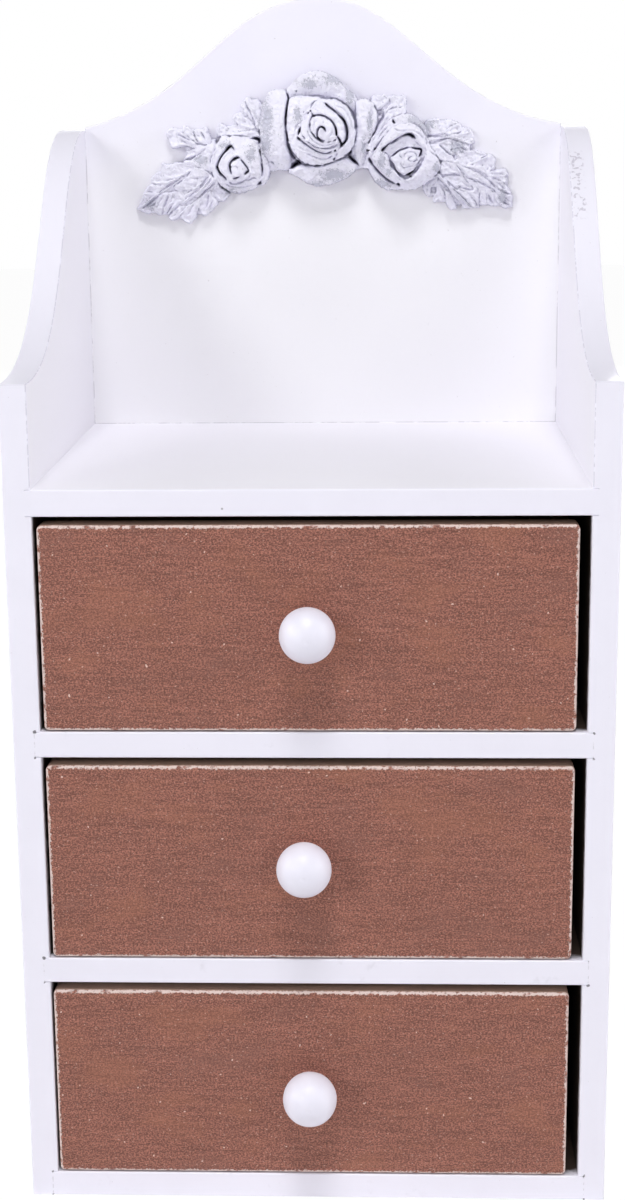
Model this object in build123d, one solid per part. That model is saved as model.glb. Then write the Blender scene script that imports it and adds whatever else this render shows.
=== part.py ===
from build123d import *
import os
from math import atan2, cos, degrees, hypot, pi, radians, sin

# A tabletop cabinet with three drawers, an open display niche and a rose ornament.
# Millimetres. +Z is up, the drawers open towards -Y, and +X is to the right of someone
# who faces them. The origin is the middle of the carcass's underside.

# Carcass boards, all painted fibreboard
carcass_width = 170.0
carcass_depth = 133.0
side_board = 7.8
shelf_board = 7.6
back_board = 5.2
bay_heights = (60.6, 60.9, 61.9)  # clear height of each drawer bay, the lowest first
housing_depth = 1.7  # how far the boards' ends sit in the sides
board_ease = 0.5  # rounding of the boards' sawn edges

# Curved top of a side: a level shoulder, then a sweep up to the back
shoulder_height = 243.0
shoulder_flat = 5.0
side_height = 310.0
shoulder_sweep = 70.0  # how far the curve stays low behind the shoulder
top_sweep = 51.0  # how far the curve stays level in front of the back panel

# Bell-shaped crest of the back panel
crest_height = 350.6
crest_lip = 0.8  # how far the panel's corners stand above the sides
crest_foot_run = 40.0
crest_foot_rises = (9.5, 6.1)  # left and right, a hand-sawn difference
crest_crown_runs = (33.5, 27.0)

# Drawers
side_play = 4.4  # how much narrower a front is than its bay
front_thickness = 8.0
front_corner = 1.4
front_ease = 0.8
running_gap = 0.4  # under a drawer
head_gap = 2.5  # over a drawer front
stop_gap = 0.4  # behind a drawer that is pushed home
drawer_shifts = (-1.5, -1.1, -1.0)  # how far each drawer sits off the middle, the lowest first
drawer_wall = 5.0
wall_drop = 4.0  # how far the walls stay below the top of the front
wall_inset = 0.6  # how far the walls stay inside the ends of the front
rabbet_depth = 4.0  # how far the walls reach into the front
floor_thickness = 3.0
floor_lift = 3.0
groove_depth = 2.0

# Knobs, each held by a screw from inside its drawer
knob_diameter = 15.6
knob_projection = 16.0
knob_foot_diameter = 9.0
knob_shifts = (0.0, -1.4, 0.1)  # how far each knob sits off the middle of its front
knob_lifts = (-1.0, 1.1, 0.3)
screw_diameter = 3.5
screw_grip = 9.0  # how far the screw reaches into the knob
screw_head_diameter = 7.0
screw_head_height = 2.4
screw_recess = 1.0

# Headed steel brads
brad_diameter = 1.2
brad_length = 20.0
small_brad_diameter = 1.0
small_brad_length = 12.0
brad_head_ratio = 1.6  # head diameter over shank diameter
brad_head_height = 0.6
brad_sink = 0.4  # how far a carcass brad is punched below the paint
brad_margin = 22.0  # from a board's front or back edge to its brad
small_brad_margin = 9.0  # from a drawer wall's top or bottom edge to its brad
fastener_fit = 0.02  # radial room around each brad and screw

# Rose ornament, one cast piece on the back panel. Its places are X and Z on that panel,
# counted from the middle of the large rose.
garland_drop = 41.7  # from the top of the crest down to the middle of the large rose
leaf_thickness = 3.2
leaf_rib_height = 0.9
leaf_rib_width = 1.3
leaf_notch = 0.78  # how deep the notches between a leaf's lobes reach
band_thickness = 3.0
band_width = 9.0
petal_gap = 1.1  # width of the grooves between a rose's petals
groove_share = 0.35  # how deep those grooves reach into the head

# Each leaf: where it starts, its tip and half its width
leaves = (
    ((-35.0, -6.4), (-50.6, 0.1), 6.4),
    ((-33.0, -10.9), (-60.2, -24.6), 7.2),
    ((-31.0, -15.9), (-50.0, -28.1), 5.6),
    ((-22.0, -4.9), (-23.6, 11.1), 4.6),
    ((-21.0, -2.4), (-34.0, 2.6), 3.6),
    ((18.6, 0.1), (22.4, 12.6), 6.0),
    ((33.0, -4.4), (48.9, -0.7), 5.6),
    ((36.0, -8.4), (61.7, -24.2), 7.8),
    ((34.0, -12.4), (46.5, -26.3), 5.4),
)
lobe_length = 6.5  # how much of a leaf's length one pair of lobes takes

# Each rose: centre, radius and height of its head, then its outer petals,
# each a low dome with its place beside the centre, its radius and its height
roses = (
    ((0.0, 0.0), 11.2, 14.5, (
        (0.0, 8.6, 10.2, 7.5),
        (-10.2, 2.9, 8.5, 9.0),
        (-9.4, -2.6, 8.2, 8.5),
        (8.6, 1.6, 8.6, 8.5),
        (8.0, -3.4, 8.2, 8.0),
        (0.0, -8.0, 9.6, 8.0),
    )),
    ((-27.6, -11.3), 7.4, 10.0, (
        (-1.6, 1.0, 7.0, 6.0),
        (2.4, 1.8, 6.8, 6.0),
        (0.6, -2.4, 6.8, 6.0),
    )),
    ((26.9, -7.6), 8.4, 11.0, (
        (-2.2, 1.0, 9.0, 6.5),
        (1.2, 3.4, 9.0, 6.5),
        (1.6, -3.2, 9.2, 7.0),
        (-2.4, -2.6, 9.0, 6.5),
    )),
)
band_crown = (0.0, -3.4)

# Places worked out from the sizes above
front_y = -carcass_depth / 2
back_y = carcass_depth / 2
back_face = back_y - back_board
inner_x = carcass_width / 2 - side_board
housed_x = inner_x + housing_depth
front_width = 2 * inner_x - side_play
head_allowance = 0.02  # extra length of a cutting tool where it leaves a face

board_levels = [0.0]
for bay_height in bay_heights:
    board_levels.append(board_levels[-1] + shelf_board + bay_height)


def block(x_range, y_range, z_range):
    """A box between two limits along each axis."""
    size = [high - low for low, high in (x_range, y_range, z_range)]
    middle = [(low + high) / 2 for low, high in (x_range, y_range, z_range)]
    return Pos(*middle) * Box(*size)


def rod(start, direction, radius, length):
    """A round bar from a start point along a direction."""
    base = Plane(origin=start, z_dir=direction)
    return extrude(base * Circle(radius), length)


def along_x(shape):
    """The edges of a shape that run along X."""
    return shape.edges().filter_by(Axis.X)


# Fasteners

def brad(start, direction, diameter, length, room=0.0):
    """A headed brad whose head starts at a point; with room, the hole that takes it."""
    head = rod(start, direction, diameter * brad_head_ratio / 2 + room, brad_head_height + room)
    return head + rod(start, direction, diameter / 2 + room, length + room)


def carcass_brad_places():
    """Where each carcass brad starts, and the way it points."""
    places = []
    middle_back = (back_face + back_y) / 2
    for side in (-1, 1):
        start_x = side * (carcass_width / 2 - brad_sink)
        inward = (-side, 0, 0)
        for level in board_levels:
            for y in (front_y + brad_margin, back_face - brad_margin):
                places.append(((start_x, y, level + shelf_board / 2), inward))
        for level, height in zip(board_levels, bay_heights):
            places.append(((start_x, middle_back, level + shelf_board + height / 2), inward))
        above_shelf = (board_levels[-1] + shelf_board + side_height) / 2
        places.append(((start_x, middle_back, above_shelf), inward))
    return places


def drill_carcass(board):
    """The board with a hole for each carcass brad that reaches it."""
    limits = board.bounding_box()
    for (x, y, z), inward in carcass_brad_places():
        reach = sorted((x, x + inward[0] * brad_length))
        meets_x = reach[0] < limits.max.X and reach[1] > limits.min.X
        meets_y = limits.min.Y < y < limits.max.Y
        meets_z = limits.min.Z < z < limits.max.Z
        if not (meets_x and meets_y and meets_z):
            continue
        board -= brad((x, y, z), inward, brad_diameter, brad_length, fastener_fit)
        outside = (x + inward[0] * brad_head_height, y, z)
        outward = (-inward[0], 0, 0)
        head_radius = brad_diameter * brad_head_ratio / 2 + fastener_fit
        board -= rod(outside, outward, head_radius, brad_head_height + brad_sink + head_allowance)
    return board


def carcass_brads():
    """All the brads of the carcass, one group of separate pins."""
    pins = [brad(start, way, brad_diameter, brad_length) for start, way in carcass_brad_places()]
    return Compound(children=pins)


# Carcass

def side(sign):
    """A side board: straight in front, swept at the top, with housings for four boards."""
    shoulder = (front_y + shoulder_flat, shoulder_height)
    top_front = (back_face, side_height)
    edge = Line((front_y, 0), (front_y, shoulder_height))
    edge += Line((front_y, shoulder_height), shoulder)
    edge += Bezier(
        shoulder,
        (shoulder[0] + shoulder_sweep, shoulder_height),
        (top_front[0] - top_sweep, side_height),
        top_front,
    )
    edge += Polyline(top_front, (back_y, side_height), (back_y, 0), (front_y, 0))
    outline = Plane.YZ * make_face(edge)
    board = Pos(sign * inner_x, 0, 0) * extrude(outline, sign * side_board)
    shown = [e for e in board.edges() if shows_on_side(e)]
    board = fillet(shown, board_ease)
    for level in board_levels:
        depth = sorted((sign * inner_x, sign * housed_x))
        board -= block(depth, (front_y, back_face), (level, level + shelf_board))
    return drill_carcass(board)


def shows_on_side(edge):
    """Whether an edge of a side board is on its front or its curved top."""
    box = edge.bounding_box()
    runs_across = box.size.X > side_board / 2
    on_back = box.min.Y > back_face - board_ease and box.size.Z > board_ease
    on_base = box.max.Z < board_ease
    return not (runs_across or on_back or on_base)


def cross_board(level):
    """A board between the sides: the bottom, a divider or the shelf."""
    board = block((-housed_x, housed_x), (front_y, back_face), (level, level + shelf_board))
    front_edges = along_x(board).group_by(Axis.Y)[0]
    board = fillet(front_edges, board_ease)
    return drill_carcass(board)


def back_panel():
    """The back, one board up to its bell-shaped crest."""
    foot = side_height + crest_lip
    left_foot = (-inner_x, foot)
    right_foot = (inner_x, foot)
    crown = (0, crest_height)
    edge = Polyline(right_foot, (inner_x, 0), (-inner_x, 0), left_foot)
    edge += Bezier(
        left_foot,
        (-inner_x + crest_foot_run, foot + crest_foot_rises[0]),
        (-crest_crown_runs[0], crest_height),
        crown,
    )
    edge += Bezier(
        crown,
        (crest_crown_runs[1], crest_height),
        (inner_x - crest_foot_run, foot + crest_foot_rises[1]),
        right_foot,
    )
    outline = Plane.XZ * make_face(edge)
    panel = Pos(0, back_y, 0) * extrude(outline, back_board)
    crest_edges = [e for e in panel.edges() if e.bounding_box().min.Z > side_height]
    crest_edges = [e for e in crest_edges if e.bounding_box().size.X > board_ease]
    panel = fillet(crest_edges, board_ease)
    return drill_carcass(panel)


# Drawers

def drawer_sizes(index):
    """The limits of a drawer's pieces at rest, by name."""
    low = board_levels[index] + shelf_board + running_gap
    front_top = low + bay_heights[index] - running_gap - head_gap
    middle = drawer_shifts[index]
    rear = front_y + front_thickness
    return {
        "middle": middle,
        "left": middle - front_width / 2,
        "right": middle + front_width / 2,
        "low": low,
        "front_top": front_top,
        "wall_top": front_top - wall_drop,
        "rear": rear,
        "tongue": rear - rabbet_depth,
        "end": back_face - stop_gap,
        "wall_left": middle - front_width / 2 + wall_inset,
        "wall_right": middle + front_width / 2 - wall_inset,
        "floor_low": low + floor_lift,
        "floor_top": low + floor_lift + floor_thickness,
        "knob_x": middle + knob_shifts[index],
        "knob_z": (low + front_top) / 2 + knob_lifts[index],
    }


def drawer_brad_places(d):
    """Where each brad of a drawer starts, and the way it points."""
    places = []
    heights = (d["low"] + small_brad_margin, d["wall_top"] - small_brad_margin)
    stations = (d["rear"] - rabbet_depth / 2, d["end"] - drawer_wall / 2)
    for start_x, way in ((d["wall_left"], 1), (d["wall_right"], -1)):
        for y in stations:
            for z in heights:
                places.append(((start_x, y, z), (way, 0, 0)))
    for x in (d["middle"] - front_width / 4, d["middle"] + front_width / 4):
        places.append(((x, d["end"] - drawer_wall / 2, d["floor_low"]), (0, 0, 1)))
    return places


def drill_drawer(board, d):
    """The board with a hole for each of its drawer's brads."""
    limits = board.bounding_box()
    for start, way in drawer_brad_places(d):
        hole = brad(start, way, small_brad_diameter, small_brad_length, fastener_fit)
        reach = hole.bounding_box()
        meets_x = reach.min.X < limits.max.X and reach.max.X > limits.min.X
        meets_y = reach.min.Y < limits.max.Y and reach.max.Y > limits.min.Y
        meets_z = reach.min.Z < limits.max.Z and reach.max.Z > limits.min.Z
        if meets_x and meets_y and meets_z:
            board -= hole
    return board


def drawer_front(d):
    """The painted front, rabbeted for the walls and grooved for the floor."""
    board = block((d["left"], d["right"]), (front_y, d["rear"]), (d["low"], d["front_top"]))
    board = fillet(board.edges().filter_by(Axis.Y), front_corner)
    board = fillet(board.faces().sort_by(Axis.Y)[0].edges(), front_ease)
    wall_range = (d["low"] - front_corner, d["wall_top"])
    tongue_range = (d["tongue"], d["rear"] + head_allowance)
    for x_range in (
        (d["left"] - head_allowance, d["wall_left"] + drawer_wall),
        (d["wall_right"] - drawer_wall, d["right"] + head_allowance),
    ):
        board -= block(x_range, tongue_range, wall_range)
    groove_y = (d["rear"] - groove_depth, d["rear"] + head_allowance)
    board -= block((d["left"], d["right"]), groove_y, (d["floor_low"], d["floor_top"]))
    hole_radius = screw_diameter / 2 + fastener_fit
    board -= rod((d["knob_x"], front_y, d["knob_z"]), (0, 1, 0), hole_radius, front_thickness)
    return drill_drawer(board, d)


def drawer_side(d, sign):
    """A side wall, grooved for the floor."""
    outer = d["wall_left"] if sign < 0 else d["wall_right"]
    inner = outer - sign * drawer_wall
    board = block(sorted((outer, inner)), (d["tongue"], d["end"]), (d["low"], d["wall_top"]))
    groove_x = sorted((inner, inner + sign * groove_depth))
    board -= block(groove_x, (d["tongue"], d["end"]), (d["floor_low"], d["floor_top"]))
    return drill_drawer(board, d)


def drawer_back(d):
    """The back wall, which stands on the floor between the side walls."""
    board = block(
        (d["wall_left"] + drawer_wall, d["wall_right"] - drawer_wall),
        (d["end"] - drawer_wall, d["end"]),
        (d["floor_top"], d["wall_top"]),
    )
    return drill_drawer(board, d)


def drawer_floor(d):
    """The thin floor, held in the grooves of the front and the side walls."""
    board = block(
        (d["wall_left"] + drawer_wall - groove_depth, d["wall_right"] - drawer_wall + groove_depth),
        (d["rear"] - groove_depth, d["end"]),
        (d["floor_low"], d["floor_top"]),
    )
    return drill_drawer(board, d)


def drawer_brads(d):
    """A drawer's brads, one group of separate pins."""
    pins = [
        brad(start, way, small_brad_diameter, small_brad_length)
        for start, way in drawer_brad_places(d)
    ]
    return Compound(children=pins)


def knob(d):
    """A turned ball on a short foot, bored from behind for its screw."""
    radius = knob_diameter / 2
    centre_y = front_y - knob_projection + radius
    ball = Pos(d["knob_x"], centre_y, d["knob_z"]) * Sphere(radius)
    face = (d["knob_x"], front_y, d["knob_z"])
    foot = rod(face, (0, -1, 0), knob_foot_diameter / 2, front_y - centre_y)
    hole = rod(face, (0, -1, 0), screw_diameter / 2 + fastener_fit, screw_grip + fastener_fit)
    return ball + foot - hole


def knob_screw(d):
    """A pan-head screw through the front into the knob, with a cross recess."""
    seat = (d["knob_x"], d["rear"], d["knob_z"])
    shank = rod(seat, (0, -1, 0), screw_diameter / 2, front_thickness + screw_grip)
    head = rod(seat, (0, 1, 0), screw_head_diameter / 2, screw_head_height)
    head = fillet(head.edges().sort_by(Axis.Y)[-1], screw_head_height / 3)
    screw = shank + head
    bottom_y = d["rear"] + screw_head_height - screw_recess
    slot_length = screw_head_diameter * 0.6
    slot_width = screw_head_diameter * 0.14
    for width, height in ((slot_length, slot_width), (slot_width, slot_length)):
        screw -= block(
            (d["knob_x"] - width / 2, d["knob_x"] + width / 2),
            (bottom_y, d["rear"] + screw_head_height + head_allowance),
            (d["knob_z"] - height / 2, d["knob_z"] + height / 2),
        )
    return screw


# Rose ornament

def on_panel(x, z, lift=0.0):
    """A plane on the back panel, or in front of it, with its place given from the large rose."""
    place = (x, back_face - lift, crest_height - garland_drop + z)
    return Plane(origin=place, x_dir=(1, 0, 0), z_dir=(0, -1, 0))


def leaf(start, tip, half_width):
    """A flat lobed leaf with a raised rib, from its stalk to its tip."""
    run_x = tip[0] - start[0]
    run_z = tip[1] - start[1]
    length = hypot(run_x, run_z)
    along = (run_x / length, run_z / length)
    across = (-along[1], along[0])
    steps = 2 * max(2, round(length / lobe_length)) + 1
    upper = []
    lower = []
    for step in range(1, steps):
        share = step / steps
        width = half_width * sin(pi * share ** 0.8)
        width *= 1.0 if step % 2 else leaf_notch
        lean = half_width * (0.3 if step % 2 else 0.0)
        x = start[0] + along[0] * (length * share + lean)
        z = start[1] + along[1] * (length * share + lean)
        upper.append((x + across[0] * width, z + across[1] * width))
        lower.append((x - across[0] * width, z - across[1] * width))
    points = [start, *upper, tip, *reversed(lower)]
    blade = extrude(on_panel(0, 0) * make_face(Polyline(*points, close=True)), leaf_thickness)
    turn = degrees(atan2(run_z, run_x))
    middle = ((start[0] + tip[0]) / 2, (start[1] + tip[1]) / 2)
    rib_place = on_panel(*middle) * Rot(0, 0, turn)
    rib_height = leaf_thickness + leaf_rib_height
    rib = extrude(rib_place * Rectangle(length * 0.86, leaf_rib_width), rib_height)
    return blade + rib


def dome(x, z, radius, height):
    """A low dome on the back panel: the cap of a large ball."""
    ball_radius = (radius ** 2 + height ** 2) / (2 * height)
    ball = on_panel(x, z, height - ball_radius) * Sphere(ball_radius)
    reach = radius + height
    return ball & extrude(on_panel(x, z) * Rectangle(2 * reach, 2 * reach), reach)


def rose_head(centre, radius, height):
    """A rolled head: a tapered drum with rings of petals around a small bud."""
    x, z = centre
    drum = extrude(on_panel(x, z) * Circle(radius), height * 0.8, taper=6)
    depth = height * groove_share
    inner = radius * 0.8
    shift = petal_gap * 0.5
    turn = 0.0
    while inner > 2.2 * petal_gap:
        groove_x = x + shift * cos(radians(turn))
        groove_z = z + shift * sin(radians(turn))
        bottom = on_panel(groove_x, groove_z, height * 0.8 - depth)
        drum -= extrude(bottom * (Circle(inner) - Circle(inner - petal_gap)), depth)
        inner -= 2.4 * petal_gap
        turn += 140.0
    bud = extrude(on_panel(x, z) * Circle(radius * 0.3), height, taper=8)
    return drum + bud


def rose_garland():
    """Three roses with leaves on an arched band, cast in one piece."""
    spine = ThreePointArc(roses[1][0], band_crown, roses[2][0])
    strip = make_face(trace(spine, band_width).face().outer_wire())
    cast = extrude(on_panel(0, 0) * strip, band_thickness)
    for start, tip, half_width in leaves:
        cast += leaf(start, tip, half_width)
    for centre, radius, height, petals in roses:
        for off_x, off_z, petal_radius, petal_height in petals:
            cast += dome(centre[0] + off_x, centre[1] + off_z, petal_radius, petal_height)
        cast += rose_head(centre, radius, height)
    return cast


# All the pieces, by name

pieces = {
    "left_side": side(-1),
    "right_side": side(1),
    "back_panel": back_panel(),
    "rose_garland": rose_garland(),
    "carcass_brads": carcass_brads(),
}
board_names = ("bottom_board", "lower_divider", "upper_divider", "top_shelf")
for board_name, board_level in zip(board_names, board_levels):
    pieces[board_name] = cross_board(board_level)
for index, place in enumerate(("bottom", "middle", "top")):
    d = drawer_sizes(index)
    drawer = {
        "front": drawer_front(d),
        "left_side": drawer_side(d, -1),
        "right_side": drawer_side(d, 1),
        "back": drawer_back(d),
        "floor": drawer_floor(d),
        "brads": drawer_brads(d),
        "knob": knob(d),
        "knob_screw": knob_screw(d),
    }
    for piece_name, shape in drawer.items():
        pieces[f"{place}_drawer_{piece_name}"] = shape

os.makedirs("parts", exist_ok=True)
for node, shape in pieces.items():
    export_step(shape, f"parts/{node}.step")
print(len(pieces), "nodes written")
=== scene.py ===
# %% [markdown]
# # A tabletop cabinet with three drawers and a cast rose garland
# The real object is a small cabinet of painted fibreboard. Three brown drawers with rubbed edges
# sit under an open niche, and a cast garland of roses is glued to the tall back panel.
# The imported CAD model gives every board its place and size. This script only adds what CAD leaves
# out: paint, grain and wear, finely turned knobs, and a garland with real petals and veined leaves.

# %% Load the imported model
import math

import bpy
import numpy as np
from mathutils import Matrix, Vector


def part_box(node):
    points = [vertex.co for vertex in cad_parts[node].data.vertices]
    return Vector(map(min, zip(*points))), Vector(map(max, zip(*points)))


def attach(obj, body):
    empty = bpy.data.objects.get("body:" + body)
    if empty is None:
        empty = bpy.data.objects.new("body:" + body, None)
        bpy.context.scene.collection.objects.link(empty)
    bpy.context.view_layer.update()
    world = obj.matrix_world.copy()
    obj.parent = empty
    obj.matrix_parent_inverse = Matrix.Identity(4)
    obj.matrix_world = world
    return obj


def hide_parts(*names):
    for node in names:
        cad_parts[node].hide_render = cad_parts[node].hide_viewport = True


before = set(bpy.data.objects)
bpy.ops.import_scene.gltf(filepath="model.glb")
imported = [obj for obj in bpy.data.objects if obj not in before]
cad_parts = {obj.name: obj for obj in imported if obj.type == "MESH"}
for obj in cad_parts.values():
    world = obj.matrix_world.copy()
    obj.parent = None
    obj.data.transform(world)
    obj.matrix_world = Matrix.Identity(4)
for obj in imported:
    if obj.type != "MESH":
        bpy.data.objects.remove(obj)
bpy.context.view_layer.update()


def mm(node):
    """The lowest and highest corner of a CAD node, in millimetres."""
    low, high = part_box(node)
    return low * 1000, high * 1000


side_low, side_high = mm("right_side")
front_plane = side_low.y
inner_face = mm("back_panel")[1].x
panel_face = mm("back_panel")[0].y
shelf_low, shelf_high = mm("top_shelf")
boards = ("bottom_board", "lower_divider", "upper_divider", "top_shelf")
places = ("bottom", "middle", "top")
print("nodes", len(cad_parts), "front", round(front_plane, 1), "panel", round(panel_face, 1))

# %% [markdown]
# ## The camera
# The photograph was taken from a little above, slightly right of the middle, about 60 cm away.
# A camera can be placed by eye, or worked out from corners whose real places are known. It was
# worked out here, because one wrong degree shows as a tilted shelf. The numbers below are its place
# and its three turns, and a focal length of 61 mm on a 36 mm frame.

# %% Camera
photo_width, photo_height = 625, 1200
camera_place = (0.02137865, -0.616414696, 0.311022335)
film_width, focal_length = 36.0, 61.106994
yaw, pitch, roll = (math.radians(angle) for angle in (2.189222, 13.132790, 0.557608))
right = np.array((math.cos(yaw), math.sin(yaw), 0.0))
ahead = np.array((-math.sin(yaw) * math.cos(pitch), math.cos(yaw) * math.cos(pitch), -math.sin(pitch)))
down = np.cross(ahead, right)
turned_right = math.cos(roll) * right + math.sin(roll) * down
turned_down = math.cos(roll) * down - math.sin(roll) * right
camera = bpy.data.objects.new("camera", bpy.data.cameras.new("camera"))
camera.data.sensor_width = film_width
camera.data.lens = focal_length
axes = Matrix([list(axis) for axis in (turned_right, -turned_down, -ahead)]).transposed()
camera.matrix_world = Matrix.Translation(camera_place) @ axes.to_4x4()
bpy.context.scene.collection.objects.link(camera)
bpy.context.scene.camera = camera
bpy.context.scene.view_settings.view_transform = "Standard"
print("camera at", camera_place, "lens", focal_length)

# %% [markdown]
# ## Shader sums that read like sums
# A material is a graph of nodes. Built by hand, each plus or times is a node with two wires, which is
# slow to read. The small class below wraps one output socket and teaches it plus, minus, times and
# divide, so that `1 - mask` adds the node by itself. Everything else comes from one method, `node`.


# %% Helpers for materials
class Varying:
    """A number that changes over a surface: one output socket, ready for sums."""

    def __init__(self, graph, socket):
        self.graph = graph
        self.socket = socket

    def math(self, operation, *values):
        return self.graph.node("ShaderNodeMath", {"operation": operation}, dict(enumerate(values)))

    def __add__(self, other):
        return self.math("ADD", self, other)

    def __radd__(self, other):
        return self.math("ADD", other, self)

    def __sub__(self, other):
        return self.math("SUBTRACT", self, other)

    def __rsub__(self, other):
        return self.math("SUBTRACT", other, self)

    def __mul__(self, other):
        return self.math("MULTIPLY", self, other)

    def __rmul__(self, other):
        return self.math("MULTIPLY", other, self)

    def __truediv__(self, other):
        return self.math("DIVIDE", self, other)

    def __rtruediv__(self, other):
        return self.math("DIVIDE", other, self)

    def __pow__(self, other):
        return self.math("POWER", self, other)

    def __abs__(self):
        return self.math("ABSOLUTE", self)

    def lower(self, other):
        return self.math("MINIMUM", self, other)

    def higher(self, other):
        return self.math("MAXIMUM", self, other)


class Graph:
    """The nodes of a material or of the world."""

    def __init__(self, tree):
        self.tree = tree

    def node(self, kind, settings=None, inputs=None, output=0):
        """Add a node: its settings first, then its sockets' values or links."""
        node = self.tree.nodes.new(kind)
        for name, value in (settings or {}).items():
            setattr(node, name, value)
        for key, value in (inputs or {}).items():
            self.feed(node.inputs[key], value)
        return Varying(self, node.outputs[output])

    def feed(self, socket, value):
        """Link a varying value to a socket, or set a plain one."""
        if isinstance(value, Varying):
            self.tree.links.new(value.socket, socket)
        elif isinstance(value, tuple) and socket.type == "RGBA":
            socket.default_value = (*value, 1.0)
        else:
            socket.default_value = value


class Finish(Graph):
    """A material around one Principled shader, with places in millimetres."""

    def __init__(self, name, **uniform):
        self.material = bpy.data.materials.new(name)
        self.material.use_nodes = True
        super().__init__(self.material.node_tree)
        self.shader = self.tree.nodes["Principled BSDF"]
        for socket, value in uniform.items():
            self.shader.inputs[socket.replace("_", " ")].default_value = value
        metres = self.node("ShaderNodeTexCoord", output="Object")
        self.place = self.node("ShaderNodeVectorMath", {"operation": "SCALE"},
                               {"Vector": metres, "Scale": 1000.0})
        self.x, self.y, self.z = (
            self.node("ShaderNodeSeparateXYZ", {}, {"Vector": self.place}, axis) for axis in "XYZ")

    def noise(self, size, detail=2.0, rough=0.5, shift=0.0):
        """Soft noise from 0 to 1, whose lumps are about `size` mm, or (x, y, z) mm."""
        sizes = size if isinstance(size, tuple) else (size, size, size)
        place = self.node("ShaderNodeVectorMath", {"operation": "MULTIPLY_ADD"},
                          {0: self.place, 1: tuple(1 / s for s in sizes), 2: (shift, shift, shift)})
        return self.node("ShaderNodeTexNoise", {},
                         {"Vector": place, "Scale": 1.0, "Detail": detail, "Roughness": rough})

    def step(self, value, start, end):
        """A soft step, from 0 at `start` to 1 at `end`."""
        return self.node("ShaderNodeMapRange", {"interpolation_type": "SMOOTHSTEP"},
                         {"Value": value, "From Min": start, "From Max": end})

    def mix(self, share, first, second):
        """A colour that turns from the first to the second."""
        return self.node("ShaderNodeMix", {"data_type": "RGBA"}, {0: share, 6: first, 7: second}, 2)

    def paint(self, colour, rough, height=None, depth=0.1):
        """Wire the colour, the roughness and a relief whose full height is `depth` mm."""
        self.feed(self.shader.inputs["Base Color"], colour)
        self.feed(self.shader.inputs["Roughness"], rough)
        if height is not None:
            bump = self.node("ShaderNodeBump", {},
                             {"Height": height, "Distance": depth / 1000, "Strength": 1.0})
            self.feed(self.shader.inputs["Normal"], bump)
        return self.material


def colour(red, green, blue):
    """A screen colour, 0 to 255, as the linear light that a shader wants."""
    return tuple(round((c / 255 / 12.92) if c < 11 else ((c / 255 + 0.055) / 1.055) ** 2.4, 4)
                 for c in (red, green, blue))


# %% [markdown]
# ## Floor, background and lamps
# The object stands on plain white. A white floor that is only lit would turn grey behind the object,
# so what the camera sees of it is mostly glow, and a small part stays real paint that takes the
# object's soft shadow. The world does the same: it is white to the camera and gives hardly any light.
# The light comes from six square lamps. Two keys stand beside the camera, and the left one is
# stronger, so that every knob throws one strong shadow to its right and a faint one to its left. Two
# more at the sides reach the inner walls of the niche. One overhead throws the garland's shadow down
# the panel, and one behind lights the back, for anyone who walks round.

# %% Floor
floor_half = 4.0
floor_white = (0.97, 0.97, 0.98)
glow_share, glow_strength = 0.95, 1.02
plain_white = (1.0, 1.0, 1.0)


def seen_directly(graph):
    """1 where the camera looks straight, by a reflection or through glass, and 0 for other light."""
    rays = [graph.node("ShaderNodeLightPath", output=ray)
            for ray in ("Is Camera Ray", "Is Glossy Ray", "Is Transmission Ray")]
    return rays[0].higher(rays[1]).higher(rays[2])


floor_mesh = bpy.data.meshes.new("floor")
floor_corners = [(x * floor_half, y * floor_half, 0) for x, y in ((-1, -1), (1, -1), (1, 1), (-1, 1))]
floor_mesh.from_pydata(floor_corners, [], [(0, 1, 2, 3)])
floor = bpy.data.objects.new("floor", floor_mesh)
bpy.context.scene.collection.objects.link(floor)

floor_paint = Finish("pale_floor", Roughness=0.9)
floor_paint.paint(floor_white, 0.9)
lit = Varying(floor_paint, floor_paint.shader.outputs[0])
glow = floor_paint.node("ShaderNodeEmission", {}, {"Color": plain_white, "Strength": glow_strength})
floor_look = floor_paint.node(
    "ShaderNodeMixShader", {}, {0: seen_directly(floor_paint) * glow_share, 1: lit, 2: glow})
floor_paint.feed(floor_paint.tree.nodes["Material Output"].inputs["Surface"], floor_look)
floor_mesh.materials.append(floor_paint.material)
print("floor", 2 * floor_half, "m wide")

# %% World
ambient_strength = 0.03
world = bpy.data.worlds.new("studio")
world.use_nodes = True
bpy.context.scene.world = world
sky = Graph(world.node_tree)
ambient = sky.tree.nodes["Background"]
sky.feed(ambient.inputs["Color"], plain_white)
sky.feed(ambient.inputs["Strength"], ambient_strength)
backdrop = sky.node("ShaderNodeBackground", {}, {"Color": plain_white, "Strength": 1.0})
both = sky.node("ShaderNodeMixShader", {},
                {0: seen_directly(sky), 1: Varying(sky, ambient.outputs[0]), 2: backdrop})
sky.feed(sky.tree.nodes["World Output"].inputs["Surface"], both)
print("ambient light", ambient_strength)


# %% Lamps
def lamp(name, place, size, power, aim=(0.0, 0.0, 0.17)):
    """A square soft lamp that looks at the cabinet."""
    light = bpy.data.lights.new(name, "AREA")
    light.size = size
    light.energy = power
    holder = bpy.data.objects.new(name, light)
    holder.location = place
    holder.rotation_euler = (Vector(place) - Vector(aim)).to_track_quat("Z", "Y").to_euler()
    bpy.context.scene.collection.objects.link(holder)


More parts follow.
